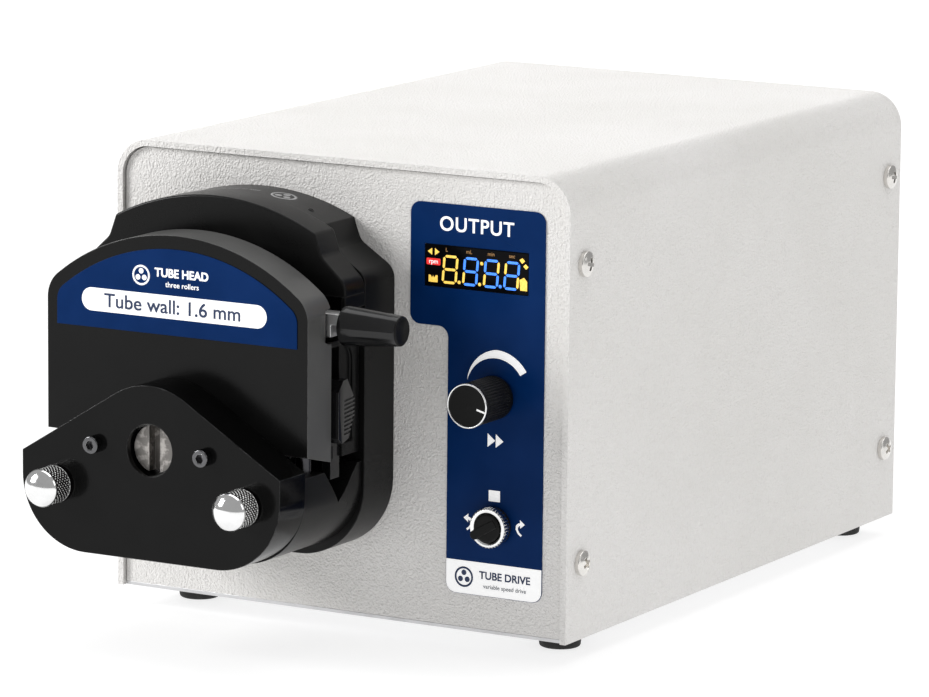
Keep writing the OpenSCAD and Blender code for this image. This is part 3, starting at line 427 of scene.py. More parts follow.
def make_finishes():
    finishes = {"cabinet_paint": cabinet_paint(), "label_navy": label_film(),
                "window_plastic": smoked_window(), "foot_rubber": foot_rubber(),
                "board": circuit_board(), "knurled_chrome": knurled_chrome(),
                "shaft_face": shaft_face()}
    for name, (tone, rubbed, *look) in MOULDED.items():
        finishes[name] = moulded_black(name, srgb(*tone), srgb(*rubbed), *look)
    for name, look in METALS.items():
        finishes[name] = bare_metal(name, *look)
    for name, (tone, glow) in INKS.items():
        finishes[name] = ink(name, srgb(*tone), glow)
    for name, (tone, glow) in LIT_SEGMENTS.items():
        finishes[name] = lit_segment(name, srgb(*tone), glow)
    return finishes


# ---- Mesh helpers ----

def make_piece(name, bm, finish, body, replaces=()):
    """Turns a bmesh into a visible piece that rides on a body."""
    bmesh.ops.recalc_face_normals(bm, faces=bm.faces)
    mesh = bpy.data.meshes.new(name)
    bm.to_mesh(mesh)
    bm.free()
    mesh.materials.append(FINISHES[finish])
    piece = link(bpy.data.objects.new(name, mesh))
    mesh.shade_smooth()
    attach(piece, body)
    if replaces:
        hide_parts(*replaces)
    return piece


def finish_where(piece, finish, test):
    """Gives the faces that pass a test a second finish."""
    piece.data.materials.append(FINISHES[finish])
    for face in piece.data.polygons:
        face.material_index = int(test(face))


def from_axis(face, centre):
    """How far a face is from an axis along Y."""
    return hypot(face.center.x - centre.x, face.center.z - centre.z)


def soften(piece, width, segments=3, angle=28):
    """Rounds a piece's sharp edges by width in metres."""
    bevel = piece.modifiers.new("round_edges", "BEVEL")
    bevel.width = width
    bevel.segments = segments
    bevel.limit_method = "ANGLE"
    bevel.angle_limit = radians(angle)
    bevel.miter_outer = "MITER_ARC"
    shade_evenly(piece)


def shade_evenly(piece):
    """Weighted normals, so that flat faces stay flat beside their rounded edges."""
    weighted = piece.modifiers.new("even_shading", "WEIGHTED_NORMAL")
    weighted.keep_sharp = True
    weighted.weight = 60


def arc(centre, radius, start, end, steps=12):
    """Points of an arc from one angle in degrees to another, in X and Z or in a lathe's profile."""
    points = []
    for i in range(steps + 1):
        angle = radians(start + (end - start) * i / steps)
        points.append((centre[0] + radius * cos(angle), centre[1] + radius * sin(angle)))
    return points


def circle(centre, radius, steps):
    return arc(centre, radius, 0, 360, steps)[:-1]


def rounded_rect(low, high, radius, steps):
    (x0, z0), (x1, z1) = low, high
    corners = [((x1 - radius, z1 - radius), 0), ((x0 + radius, z1 - radius), 90),
               ((x0 + radius, z0 + radius), 180), ((x1 - radius, z0 + radius), 270)]
    return [p for centre, start in corners for p in arc(centre, radius, start, start + 90, steps)]


def add_prism(bm, outline, y_front, y_back):
    """Extrudes an outline of X and Z points between two places along Y."""
    front = [bm.verts.new((x, y_front, z)) for x, z in outline]
    back = [bm.verts.new((x, y_back, z)) for x, z in outline]
    bm.faces.new(front)
    bm.faces.new(back[::-1])
    for i in range(len(outline)):
        j = (i + 1) % len(outline)
        bm.faces.new((front[j], front[i], back[i], back[j]))


def toward(place, axis):
    """A matrix that takes +Z to an axis and the origin to a place."""
    return Matrix.Translation(place) @ Vector(axis).to_track_quat("Z", "Y").to_matrix().to_4x4()


def add_lathe(bm, profile, steps, matrix, shape=None, closed=False):
    """Turns a profile of (radius, height) points about Z, or a closed section.

    shape(angle, radius, height) may give a point another radius.
    """
    rings = []
    for radius, height in profile:
        if radius < SAME_POINT:
            rings.append([bm.verts.new(matrix @ Vector((0, 0, height)))])
            continue
        ring = []
        for i in range(steps):
            angle = 2 * pi * i / steps
            r = shape(angle, radius, height) if shape else radius
            spot = Vector((r * cos(angle), r * sin(angle), height))
            ring.append(bm.verts.new(matrix @ spot))
        rings.append(ring)
    for a, b in zip(rings, rings[1:] + rings[:closed]):
        for i in range(steps):
            j = (i + 1) % steps
            corners = [a[i % len(a)], a[j % len(a)], b[j % len(b)], b[i % len(b)]]
            bm.faces.new(list(dict.fromkeys(corners)))
    for ring in (rings[0], rings[-1]):
        if len(ring) > 1 and not closed:
            bm.faces.new(ring)


def loose_solids(node):
    """The lowest and highest corner of each separate solid of a CAD node."""
    bm = bmesh.new()
    bm.from_mesh(NODES[node].data)
    bmesh.ops.remove_doubles(bm, verts=bm.verts, dist=SAME_POINT)
    left, boxes = set(bm.verts), []
    while left:
        heap, found = [left.pop()], []
        while heap:
            vert = heap.pop()
            found.append(vert.co.copy())
            for edge in vert.link_edges:
                other = edge.other_vert(vert)
                if other in left:
                    left.remove(other)
                    heap.append(other)
        boxes.append((Vector(min(c[k] for c in found) for k in range(3)),
                      Vector(max(c[k] for c in found) for k in range(3))))
    bm.free()
    return sorted(boxes, key=lambda b: tuple(round(c, 6) for c in b[0]))


def applied_mesh(obj):
    """A mesh of an object as it looks with its modifiers or its letters made."""
    bpy.context.view_layer.update()
    made = obj.evaluated_get(bpy.context.evaluated_depsgraph_get())
    return bpy.data.meshes.new_from_object(made)


def cut_away(piece, cutter_bm):
    """Cuts a closed bmesh out of a piece, for good."""
    mesh = bpy.data.meshes.new("cutter")
    bmesh.ops.recalc_face_normals(cutter_bm, faces=cutter_bm.faces)
    cutter_bm.to_mesh(mesh)
    cutter_bm.free()
    cutter = link(bpy.data.objects.new("cutter", mesh))
    boolean = piece.modifiers.new("cut", "BOOLEAN")
    boolean.operation = "DIFFERENCE"
    boolean.solver = "EXACT"
    boolean.object = cutter
    made = applied_mesh(piece)
    piece.modifiers.remove(boolean)
    piece.data = made
    bpy.data.objects.remove(cutter)
    made.shade_smooth()


# ---- CAD parts that keep their shape and get a finish and rounded edges ----

# finish: the CAD nodes that it goes on, each with its edges' rounding in millimetres
KEPT = {
    "cabinet_paint": {"top_cover": 0.45, "front_panel": 0.7, "rear_panel": 0.4},
    "plated_sheet": {"chassis_base": 0.25},
    "label_navy": {"control_label": 0.08, "head_label": 0.08},
    "window_plastic": {"display_window": 0.25},
    "board": {"display_module": 0.2, "control_board": 0.2, "power_supply": 0.3},
    "brass": {"board_standoffs": 0.2},
    "ground_steel": {"encoder_body": 0.25, "encoder_shaft": 0.2, "bearing_retainer": 0.2,
                     "front_bearing": 0.3, "rear_bearing": 0.3, "cam_pin": 0.2, "lever_shaft": 0.3,
                     "cam_disc": 0.3, "roller_axles": 0.2, "drive_coupling": 0.3,
                     "motor_shaft": 0.3},
    "switch_plastic": {"selector_body": 0.3, "power_inlet": 0.35, "rocker_frame": 0.3,
                       "fan_frame": 0.3, "fan_rotor": 0.3},
    "motor_aluminium": {"motor_plate": 0.5, "motor_front_cap": 0.5, "motor_rear_cap": 0.5},
    "motor_steel": {"motor_stack": 0.3},
    "dark_steel": {"motor_screws": 0.15},
    "nickel": {"head_mount_screws": 0.15, "data_socket": 0.25},
    "rocker_plastic": {"power_rocker": 0.5},
    "head_plastic": {"head_base_plate": 0.7, "arch_frame": 0.7, "lower_body": 0.45,
                     "occlusion_bed": 0.5},
    "plate_plastic": {"front_plate": 0.6},
    "black_rod": {"guide_rods": 0.2},
    "cover_plastic": {"block_cover": 0.6},
    "satin_steel": {"lever_arm": 0.35},
    "gloss_plastic": {"left_tube_retainer": 0.25, "right_tube_retainer": 0.25},
    "shaft_face": {"rotor_shaft": 0.25},
    "rotor_aluminium": {"rotor_discs": 0.3},
    "roller_steel": {"roller_1": 0.5, "roller_2": 0.5, "roller_3": 0.5},
}
# parts whose sides get a paler finish of their own, a painted sheen
SIDE_SHEEN_FINISHES = {"block_cover": "cover_side_sheen"}


def dress_cad_parts():
    dressed = [(node, finish, width) for finish, nodes in KEPT.items()
               for node, width in nodes.items()]
    for node, finish, width in dressed:
        part = NODES[node]
        part.data.materials.clear()
        part.data.materials.append(FINISHES[finish])
        part.data.shade_smooth()
        if node in SIDE_SHEEN_FINISHES:
            # the block cover's sides take the paler finish, a painted sheen
            finish_where(part, SIDE_SHEEN_FINISHES[node], lambda face: abs(face.normal.y) < 0.5)
        weld = part.modifiers.new("weld", "WELD")
        weld.merge_threshold = SAME_POINT
        flatten = part.modifiers.new("join_flat_faces", "DECIMATE")
        flatten.decimate_type = "DISSOLVE"
        flatten.angle_limit = radians(0.5)
        soften(part, width * MM)


# ---- Fasteners and feet ----

def add_phillips_head(bm, place, axis, radius, height, length):
    """A pan head that stands on place and faces along axis, and its shank behind it."""
    crown, shank = 1.9 * radius, 0.5 * radius
    edge = degrees(asin((radius - 0.3 * MM) / crown))
    top = height - crown
    dome = [(crown * sin(radians(a)), top + crown * cos(radians(a)))
            for a in (edge * (1 - i / 8) for i in range(9))]
    rim = dome[0][1]
    profile = [(0, -length), (shank * 0.8, -length), (shank, -length + 0.5 * MM), (shank, 0),
               (radius - 0.1 * MM, 0), (radius, 0.12 * MM),
               *arc((radius - 0.3 * MM, rim - 0.3 * MM), 0.3 * MM, 0, 80, 4), *dome[:-1], (0, height)]
    add_lathe(bm, profile, 48, toward(place, axis))


def add_recess_bar(bm, place, axis, radius, height, turn):
    """One of the two tapered bars that cut a Phillips recess."""
    spin = toward(place, axis) @ Matrix.Rotation(turn, 4, "Z")
    reach, half = radius * 0.6, radius * 0.15
    top, deep = height * 1.15, height * 0.15
    corners = []
    for level, share in ((top, 1.0), (deep, 0.35)):
        long, wide = reach * share, half * (0.6 + 0.4 * share)
        corners.append([bm.verts.new(spin @ Vector((sx * long, sy * wide, level)))
                        for sx, sy in ((1, 1), (-1, 1), (-1, -1), (1, -1))])
    bm.faces.new(corners[0])
    bm.faces.new(corners[1][::-1])
    for i in range(4):
        j = (i + 1) % 4
        bm.faces.new((corners[0][j], corners[0][i], corners[1][i], corners[1][j]))


def make_phillips_screws(name, node, head_height):
    """Replaces a CAD group of pan head screws with finely turned ones in the same places."""
    bm, bars = bmesh.new(), []
    for index, (low, high) in enumerate(loose_solids(node)):
        size, centre = high - low, (low + high) / 2
        if size.x > size.y:
            axis = Vector((copysign(1, centre.x), 0, 0))
        else:
            axis = -FRONT
        whole, radius = max(size.x, size.y), size.z / 2
        place = centre + axis * (whole / 2 - head_height)
        add_phillips_head(bm, place, axis, radius, head_height, whole - head_height)
        turn = 0.35 + 0.83 * index              # no two screws stop at the same angle
        bars += [(place, axis, radius, head_height, turn + more) for more in (0, pi / 2)]
    piece = make_piece(name, bm, "nickel", "root", (node,))
    for bar in bars:
        cutter = bmesh.new()
        add_recess_bar(cutter, *bar)
        cut_away(piece, cutter)
    soften(piece, 0.08 * MM, 2, 35)


def make_feet():
    bm = bmesh.new()
    for low, high in loose_solids("rubber_feet"):
        centre = (low + high) / 2
        radius, height = (high.x - low.x) / 2, CABINET_LOW - low.z
        waist = radius - 0.6 * MM
        hole = 3 * MM                           # for the screw that would hold it
        profile = [(0, 1.2 * MM), (2.6 * MM, 1.2 * MM), (hole, 0.3 * MM), (3.4 * MM, 0),
                   *arc((waist - 0.9 * MM, 0.9 * MM), 0.9 * MM, -90, 0, 6),
                   (radius - 0.1 * MM, height - 1.2 * MM), (radius, height - 0.5 * MM),
                   (radius, height), (hole, height), (hole, high.z - low.z - 0.4 * MM),
                   (2.6 * MM, high.z - low.z), (0, high.z - low.z)]
        add_lathe(bm, profile, 64, Matrix.Translation((centre.x, centre.y, low.z)))
    shade_evenly(make_piece("soft_feet", bm, "foot_rubber", "root", ("rubber_feet",)))


# ---- Prints ----

def panel_point(x, z):
    """A point on the control panel, in millimetres off its middle and above the cover's edge."""
    return (x * MM, CABINET_LOW + z * MM)


def panel_shape(*points):
    return [panel_point(x, z) for x, z in points]


def head_point(x, z):
    """A point on the pump head from millimetres off the rotor axis."""
    return (HEAD.x + x * MM, HEAD.z + z * MM)


def make_ink(name, bm, finish, body):
    shade_evenly(make_piece(name, bm, finish, body))


def make_print(name, outlines, y, finish, body, height=PRINT):
    """Flat printed shapes, each an outline of X and Z points in metres, on a face at y."""
    bm = bmesh.new()
    for outline in outlines:
        add_prism(bm, outline, y - height, y + PAD)
    make_ink(name, bm, finish, body)


WORD_THICKNESS = 0.06 * MM


def word_shape(words, size, weight=0.0, spread=1.0, wide=1.0):
    """Words in the built-in face, flat on X and Y. Struck again beside itself, a word is bolder."""
    curve = bpy.data.curves.new("words", "FONT")
    curve.body = words
    curve.size = size * MM
    curve.align_x, curve.align_y = "CENTER", "CENTER"
    curve.extrude = WORD_THICKNESS / 2
    curve.space_character = spread
    curve.resolution_u = 6
    holder = link(bpy.data.objects.new("words", curve))
    mesh = applied_mesh(holder)
    bpy.data.objects.remove(holder)
    mesh.transform(Matrix.Diagonal((wide, 1, 1, 1)))
    bm = bmesh.new()
    strikes = [(0, 0), (1, 1), (1, -1), (-1, 1), (-1, -1)] if weight else [(0, 0)]
    for index, (right, up) in enumerate(strikes):
        struck = mesh.copy()
        offset = (right * weight * MM, up * weight * MM, 0.001 * MM * index)
        struck.transform(Matrix.Translation(offset))
        bm.from_mesh(struck)
        bpy.data.meshes.remove(struck)
    bpy.data.meshes.remove(mesh)
    return bm


def make_words(name, words, size, place, y, finish, body, *look):
    """Words as thin raised ink, centred on a place. look is their weight, spread and width."""
    bm = word_shape(words, size, *look)
    upright = Matrix.Rotation(pi / 2, 4, "X")
    bm.transform(Matrix.Translation((place[0], y - 0.02 * MM, place[1])) @ upright)
    make_ink(name, bm, finish, body)


MARK_HOLE = 0.8                 # of the ring's inner radius to its outer one


def mark_discs(centre, radius):
    """The three rollers of the generic mark, which stand inside its ring."""
    discs = []
    for angle in (radians(90 + 120 * i) for i in range(3)):
        x = centre[0] + 0.42 * radius * cos(angle)
        z = centre[1] + 0.42 * radius * sin(angle)
        discs.append(circle((x, z), radius * 0.27, 24))
    return discs


def make_rotor_mark(name, centre, radius, y, finish, body):
    inner = radius * MARK_HOLE
    section = [(radius, -PAD), (radius, PRINT), (inner, PRINT), (inner, -PAD)]
    bm = bmesh.new()
    add_lathe(bm, section, 48, toward((centre[0], y, centre[1]), FRONT), closed=True)
    for disc in mark_discs(centre, radius):
        add_prism(bm, disc, y - PRINT, y + PAD)
    make_ink(name, bm, finish, body)


def curved_arrow(side):
    """A short bent arrow beside the selector: side is -1 for the left one and 1 for the right."""
    def outline(*points):
        return [(SELECTOR.x + side * x * MM, SELECTOR.z + z * MM) for x, z in points]
    stem = outline((9.5, -2.4), (8.4, -1.5), (7.7, -0.2), (7.8, 1.0), (8.5, 1.7), (9.3, 1.9),
                   (9.3, 1.1), (8.9, 0.9), (8.5, 0.4), (8.5, -0.3), (9.0, -1.2), (9.9, -1.9))
    return [stem, outline((9.2, 2.9), (10.9, 1.5), (9.3, 0.2))]


def make_panel_prints():
    y, ink_y = LABEL_Y, LABEL_Y - PRINT        # of the label's face and of the band's face
    low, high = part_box("control_label")
    band_high = CABINET_LOW + 22.5 * MM
    corner, left = 3.5 * MM, low.x + 13.7 * MM
    edge = 0.12 * MM
    band = [(high.x - edge, band_high), (left + edge, band_high),
            *arc((left + corner, low.z + corner), corner - edge, 180, 270),
            *arc((high.x - corner, low.z + corner), corner - edge, 270, 360)]
    make_print("panel_band", [band], y, "white_ink", "root")
    make_words("panel_title", "OUTPUT", 6.3, panel_point(49, 128.1), y, "white_ink", "root", 0.09, 1.1)
    make_rotor_mark("panel_mark", panel_point(45.6, 17.3), 3.3 * MM, ink_y, "navy_ink", "root")
    make_words("panel_name", "TUBE DRIVE", 3.4, panel_point(60.2, 18.4), ink_y, "navy_ink", "root",
               0.08)
    make_words("panel_note", "variable speed drive", 1.9, panel_point(60.2, 15.0), ink_y, "grey_ink",
               "root", 0.02)

    knob = (KNOB.x, KNOB.z + 1.8 * MM)
    reach, growth = 10.4 * MM, 2.6 * MM
    tip, tail, steps = 165, 33, 36             # the sweep's ends, in degrees
    outer = []
    for i in range(1, steps + 1):
        angle = tip + (tail - tip) * i / steps
        away = reach + growth * min(1.0, (tip - angle) / 75)
        turn = radians(angle)
        outer.append((knob[0] + away * cos(turn), knob[1] + away * sin(turn)))
    make_print("speed_sweep", [arc(knob, reach, tail, tip, steps) + outer], y, "white_ink", "root")
    forward = [panel_shape((x, 63.8), (x + 2.7, 61.65), (x, 59.5)) for x in (53.6, 56.5)]
    stop = panel_shape((54.2, 42.4), (58.2, 42.4), (58.2, 45.9), (54.2, 45.9))
    make_print("panel_symbols", [*forward, stop, *curved_arrow(-1), *curved_arrow(1)], y, "white_ink",
               "root")


def make_head_prints():
    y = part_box("head_label")[0].y
    pill = rounded_rect(head_point(-34.5, 38.7), head_point(33, 46), 3.6 * MM, 12)
    make_print("head_pill", [pill], y, "white_ink", "block")
    make_words("head_wall_note", "Tube wall: 1.6 mm", 6.2, head_point(-1.2, 42.2), y - PRINT,
               "navy_ink", "block", 0.07, 1.0, 1.08)
    make_rotor_mark("head_mark", head_point(-12.6, 51.5), 3.2 * MM, y, "white_ink", "block")
    make_words("head_name", "TUBE HEAD", 3.7, head_point(2.2, 52.8), y, "white_ink", "block", 0.11)
    make_words("head_note", "three rollers", 2.4, head_point(2.4, 49.3), y, "white_ink", "block", 0.02)


def crown_height(x):
    """Height of the base plate's crowned top at one place."""
    return BASE_HIGH.z - CROWN_RADIUS + sqrt(CROWN_RADIUS ** 2 - (x - HEAD.x) ** 2)


def make_crown_marks():
    """A rotor mark, a line of words and a blind dot on the crowned top of the base plate."""
    line_y = BASE_HIGH.y - 9.5 * MM
    rise, slab = 0.06 * MM, 0.12 * MM
    spot, radius = (HEAD.x + 13 * MM, line_y), 4.2 * MM
    outer, inner = circle(spot, radius, 48), circle(spot, radius * MARK_HOLE, 48)
    faces = [(outer[i - 1], outer[i], inner[i], inner[i - 1]) for i in range(len(outer))]
    bm = bmesh.new()
    for face in faces + mark_discs(spot, radius):
        bm.faces.new([bm.verts.new((x, y, crown_height(x) + rise)) for x, y in face])
    bmesh.ops.remove_doubles(bm, verts=bm.verts, dist=SAME_POINT / 10)
    made = bmesh.ops.extrude_face_region(bm, geom=bm.faces[:])
    for item in made["geom"]:
        if isinstance(item, bmesh.types.BMVert):
            item.co.z -= slab
    make_ink("crown_mark", bm, "pale_ink", "root")

    bm = word_shape("raise the lever to load", 2.3)
    for vert in bm.verts:
        x = HEAD.x - 6 * MM + vert.co.x
        vert.co = (x, line_y + vert.co.y, crown_height(x) + vert.co.z)
    make_ink("crown_words", bm, "pale_ink", "root")

    dot_x = 25 * MM
    place = Vector((HEAD.x + dot_x, BASE_HIGH.y - 13 * MM, crown_height(HEAD.x + dot_x)))
    bm = bmesh.new()
    profile = [(0, -1.5 * MM), (1 * MM, -1.5 * MM), (1 * MM, 0.12 * MM), (0.75 * MM, 0.18 * MM),
               (0.6 * MM, 0.05 * MM), (0.5 * MM, -0.6 * MM), (0, -0.6 * MM)]
    add_lathe(bm, profile, 32, toward(place, Vector((dot_x, 0, CROWN_RADIUS))))
    shade_evenly(make_piece("crown_dot", bm, "knob_plastic", "root"))


# ---- Display ----

SEGMENTS = {
    "a": ((0, 1), (1, 1)), "b": ((1, 1), (1, 0.5)), "c": ((1, 0.5), (1, 0)),
    "d": ((0, 0), (1, 0)), "e": ((0, 0.5), (0, 0)), "f": ((0, 1), (0, 0.5)),
    "g": ((0, 0.5), (1, 0.5)),
}
# which segments of each digit glow blue; the others glow yellow
BLUE_SEGMENTS = ["", "abcdfg", "acdfg", "abdeg"]


def segment_outline(start, end, half):
    """A bar with pointed ends between two points."""
    along = (Vector(end) - Vector(start)).normalized() * half
    side = Vector((-along.y, along.x))
    a, b = Vector(start) + along * 0.6, Vector(end) - along * 0.6
    return [tuple(p) for p in (a, a + along + side, b - along + side, b, b - along - side,
                               a + along - side)]


def make_display():
    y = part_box("display_window")[0].y
    width, height, slant, half = 4.6, 8.2, 0.08, 0.4
    digits_low, dots_low, dot_radius = 109.9, 110.3, 0.55
    glow = {"yellow_light": [], "blue_light": []}
    for left, blue in zip((37.0, 44.3, 51.7, 58.9), BLUE_SEGMENTS):
        def at(point):
            z = point[1] * height
            return panel_point(left + point[0] * width + slant * z, digits_low + z)
        for letter, (start, end) in SEGMENTS.items():
            finish = "blue_light" if letter in blue else "yellow_light"
            glow[finish].append(segment_outline(at(start), at(end), half * MM))
    for x, z, finish in ((42.9, dots_low, "yellow_light"), (50.2, dots_low, "yellow_light"),
                         (50.9, 116.9, "yellow_light"), (57.5, dots_low, "blue_light")):
        glow[finish].append(circle(panel_point(x, z), dot_radius * MM, 20))
    icons = [
        panel_shape((31.6, 119.2), (33.2, 120.3), (33.2, 118.1)),
        panel_shape((35.8, 119.2), (34.2, 118.1), (34.2, 120.3)),
        panel_shape((32, 111.8), (32, 109.6), (35.2, 109.6), (35.2, 111.8), (34.5, 111.8),
                    (34, 110.9), (33.6, 111.7), (33.2, 110.9), (32.7, 111.8)),
        panel_shape((64.3, 113), (65.9, 113.8), (67, 112.6), (67, 109.7), (64.6, 109.7)),
        panel_shape((64.2, 119.2), (65.2, 118.1), (66.2, 119), (65.2, 119.9)),
        panel_shape((65.6, 117.3), (66.6, 116.4), (67.4, 117.2), (66.4, 118.1)),
    ]
    thin, thinnest = 0.04 * MM, 0.03 * MM
    make_print("display_yellow", glow["yellow_light"] + icons, y, "yellow_light", "root", thin)
    make_print("display_blue", glow["blue_light"], y, "blue_light", "root", thin)
    pill = rounded_rect(panel_point(31.2, 115.0), panel_point(36.2, 117.1), 0.4 * MM, 4)
    make_print("display_pill", [pill], y, "red_light", "root", thinnest)
    make_words("display_rpm", "rpm", 2.0, panel_point(33.7, 116.1), y - thinnest, "white_ink", "root",
               0.03)
    for x, word in ((38.4, "L"), (46.4, "mL"), (54.2, "min"), (61.6, "sec")):
        make_words("display_" + word, word, 1.7, panel_point(x, 120.1), y, "amber_light", "root", 0.01)


# ---- Knobs ----

def make_speed_knob():
    low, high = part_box("speed_knob")
    radius, length = (high.x - low.x) / 2, high.y - low.y
    flutes, depth = 44, 0.32 * MM
    back = Vector((KNOB.x, high.y, KNOB.z))

    def fluted(angle, r, height):
        def ramp(way):
            return min(max(way / (0.6 * MM), 0), 1)
        inside = ramp(height - 1.6 * MM) * ramp(length - 2.2 * MM - height)
        twist = 0.5 + 0.5 * cos(flutes * angle)
        notch = 1 - 0.75 * exp(-(sin(pi * height / (1.15 * MM)) / 0.28) ** 2)
        return r - depth * inside * (1 - twist * notch)

    side = [(radius - 0.1 * MM, length * i / 60) for i in range(3, 58)]
    face = length - 0.6 * MM
    ridges = [(radius - 0.65 * MM - i * 0.3 * MM, face + 0.1 * (i % 2) * MM) for i in range(20)]
    profile = [(0, 0), (radius - 0.8 * MM, 0), (radius - 0.1 * MM, 0.5 * MM), *side,
               (radius - 0.3 * MM, length - 0.25 * MM), (radius - 0.45 * MM, length - 0.25 * MM),
               (radius - 0.6 * MM, face), *[p for p in ridges if p[0] > 0.2 * MM], (0, face)]
    bm = bmesh.new()
    add_lathe(bm, profile, 352, toward(back, FRONT), fluted)
    shade_evenly(make_piece("speed_knob_body", bm, "knob_plastic", "knob",
                            ("speed_knob",)))

    bm = bmesh.new()
    ring = [(radius - 0.6 * MM, face), (radius - 0.5 * MM, length - 0.1 * MM),
            (radius - 0.4 * MM, length), (radius - 0.15 * MM, length), (radius, length - 0.15 * MM),
            (radius, length - 0.5 * MM), (radius - 0.3 * MM, face),
            (radius - 0.6 * MM, length - 0.7 * MM)]
    add_lathe(bm, ring, 128, toward(back, FRONT), closed=True)
    soften(make_piece("speed_knob_ring", bm, "chrome", "knob"), 0.06 * MM, 2)

    angle = radians(-15)
    along = Vector((cos(angle), sin(angle)))
    across = Vector((-along.y, along.x)) * 0.28 * MM
    near, far = (Vector((KNOB.x, KNOB.z)) + along * away * MM for away in (3.4, 6.3))
    pointer = [tuple(p) for p in (near - across, far - across, far + across, near + across)]
    make_print("speed_pointer", [pointer], high.y - face, "white_ink", "knob", 0.12 * MM)


def make_selector():
    low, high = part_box("selector_bezel")
    radius, thick = (high.x - low.x) / 2, high.y - low.y
    back = Vector((SELECTOR.x, high.y, SELECTOR.z))
    hole = 4.75 * MM
    section = [(hole, 0), (radius - 0.1 * MM, 0), (radius, 0.15 * MM), (radius, thick - 0.35 * MM),
               (radius - 0.35 * MM, thick), (hole + 0.25 * MM, thick), (hole, thick - 0.2 * MM)]
    notches, depth = 36, 0.4 * MM

    def notched(angle, r, height):
        on_rim = r > radius - 0.2 * MM
        return r - on_rim * depth * (0.5 + 0.5 * cos(notches * angle)) ** 2

    bm = bmesh.new()
    add_lathe(bm, section, 288, toward(back, FRONT), notched, True)
    bezel = make_piece("selector_ring", bm, "chrome", "root", ("selector_bezel",))
    finish_where(bezel, "knurled_chrome", lambda face: from_axis(face, back) > radius - 0.3 * MM)
    soften(bezel, 0.05 * MM, 2, 40)


def make_selector_knob():
    """A round black knob with a raised finger that points down to the left."""
    low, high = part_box("selector_knob")
    bezel_low, bezel_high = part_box("selector_bezel")
    radius, reach = 4.5 * MM, 6.4 * MM
    length, neck = high.y - low.y, high.y - bezel_high.y
    bm = bmesh.new()
    profile = [(0, 0), (2.2 * MM, 0), (2.5 * MM, 0.3 * MM), (2.5 * MM, neck),
               (radius - 0.2 * MM, neck), (radius, neck + 0.2 * MM),
               *arc((radius - 0.5 * MM, length - 0.8 * MM), 0.5 * MM, 0, 90, 6),
               (radius - 1.4 * MM, length - 0.35 * MM), (0, length - 0.4 * MM)]
    add_lathe(bm, profile, 96, toward(Vector((SELECTOR.x, high.y, SELECTOR.z)), FRONT))
    shade_evenly(make_piece("selector_knob_body", bm, "knob_plastic", "selector",
                            ("selector_knob",)))
    angle = 210
    along = Vector((cos(radians(angle)), sin(radians(angle))))
    across = Vector((-along.y, along.x))
    spot = Vector((SELECTOR.x, SELECTOR.z))
    tip = spot + along * (reach - 1.5 * MM)
    finger = [tuple(spot - along * 3.4 * MM + across * s) for s in (1.4 * MM, -1.4 * MM)]
    finger += arc(tip, 1.5 * MM, angle - 90, angle + 90, 10)
    bm = bmesh.new()
    add_prism(bm, finger, low.y, bezel_low.y - 0.1 * MM)
    soften(make_piece("selector_finger", bm, "knob_plastic", "selector"), 0.25 * MM)


# ---- Pump head details ----

def make_thumb_screw(node, body):
    """A domed, diamond-knurled thumb screw."""
    low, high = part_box(node)
    radius = (high.x - low.x) / 2
    centre = middle(node)
    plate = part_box("front_plate")[0].y
    knurl, neck = 9 * MM, 0.8 * MM
    dome = plate - knurl - low.y
    base = Vector((centre.x, plate, centre.z))
    across, pitch, deep = 26, 1.4 * MM, 0.42 * MM
    start, stop = neck + 0.5 * MM, knurl - 0.3 * MM

    def diamonds(angle, r, height):
        def ridge(value):
            return 2 * abs(value - floor(value) - 0.5)
        if not start - SAME_POINT < height < stop + SAME_POINT or r < radius - 0.01 * MM:
            return r
        turns = across * angle / (2 * pi)
        rise = min(ridge(turns + height / pitch), ridge(turns - height / pitch))
        fade = min(1, (height - start) / (0.3 * MM), (stop - height) / (0.3 * MM))
        return r - deep * (1 - rise) * max(0, fade)

    sphere = (radius ** 2 + dome ** 2) / (2 * dome) - 0.02 * MM
    rise = [(sqrt(sphere ** 2 - (sphere - dome + way) ** 2), knurl + way)
            for way in (dome * i / 14 for i in range(1, 14))]
    rows = 44
    side = [(radius, start + (stop - start) * i / rows) for i in range(rows + 1)]
    thread = 2.5 * MM
    tail = -(high.y - plate)
    profile = [(0, tail), (thread - 0.4 * MM, tail), (thread, tail + 0.4 * MM), (thread, 0),
               (radius - 1.6 * MM, 0), (radius - 1.6 * MM, neck), (radius - 0.3 * MM, neck),
               *side, (radius - 0.25 * MM, knurl), *[p for p in rise if p[0] < radius - 0.3 * MM],
               (0, knurl + dome)]
    bm = bmesh.new()
    add_lathe(bm, profile, 272, toward(base, FRONT), diamonds)
    piece = make_piece(node + "_turned", bm, "chrome", body, (node,))
    finish_where(piece, "knurled_chrome", lambda face: (
        neck < plate - face.center.y < knurl + 0.05 * MM
        and from_axis(face, centre) > radius - 0.6 * MM))
    shade_evenly(piece)


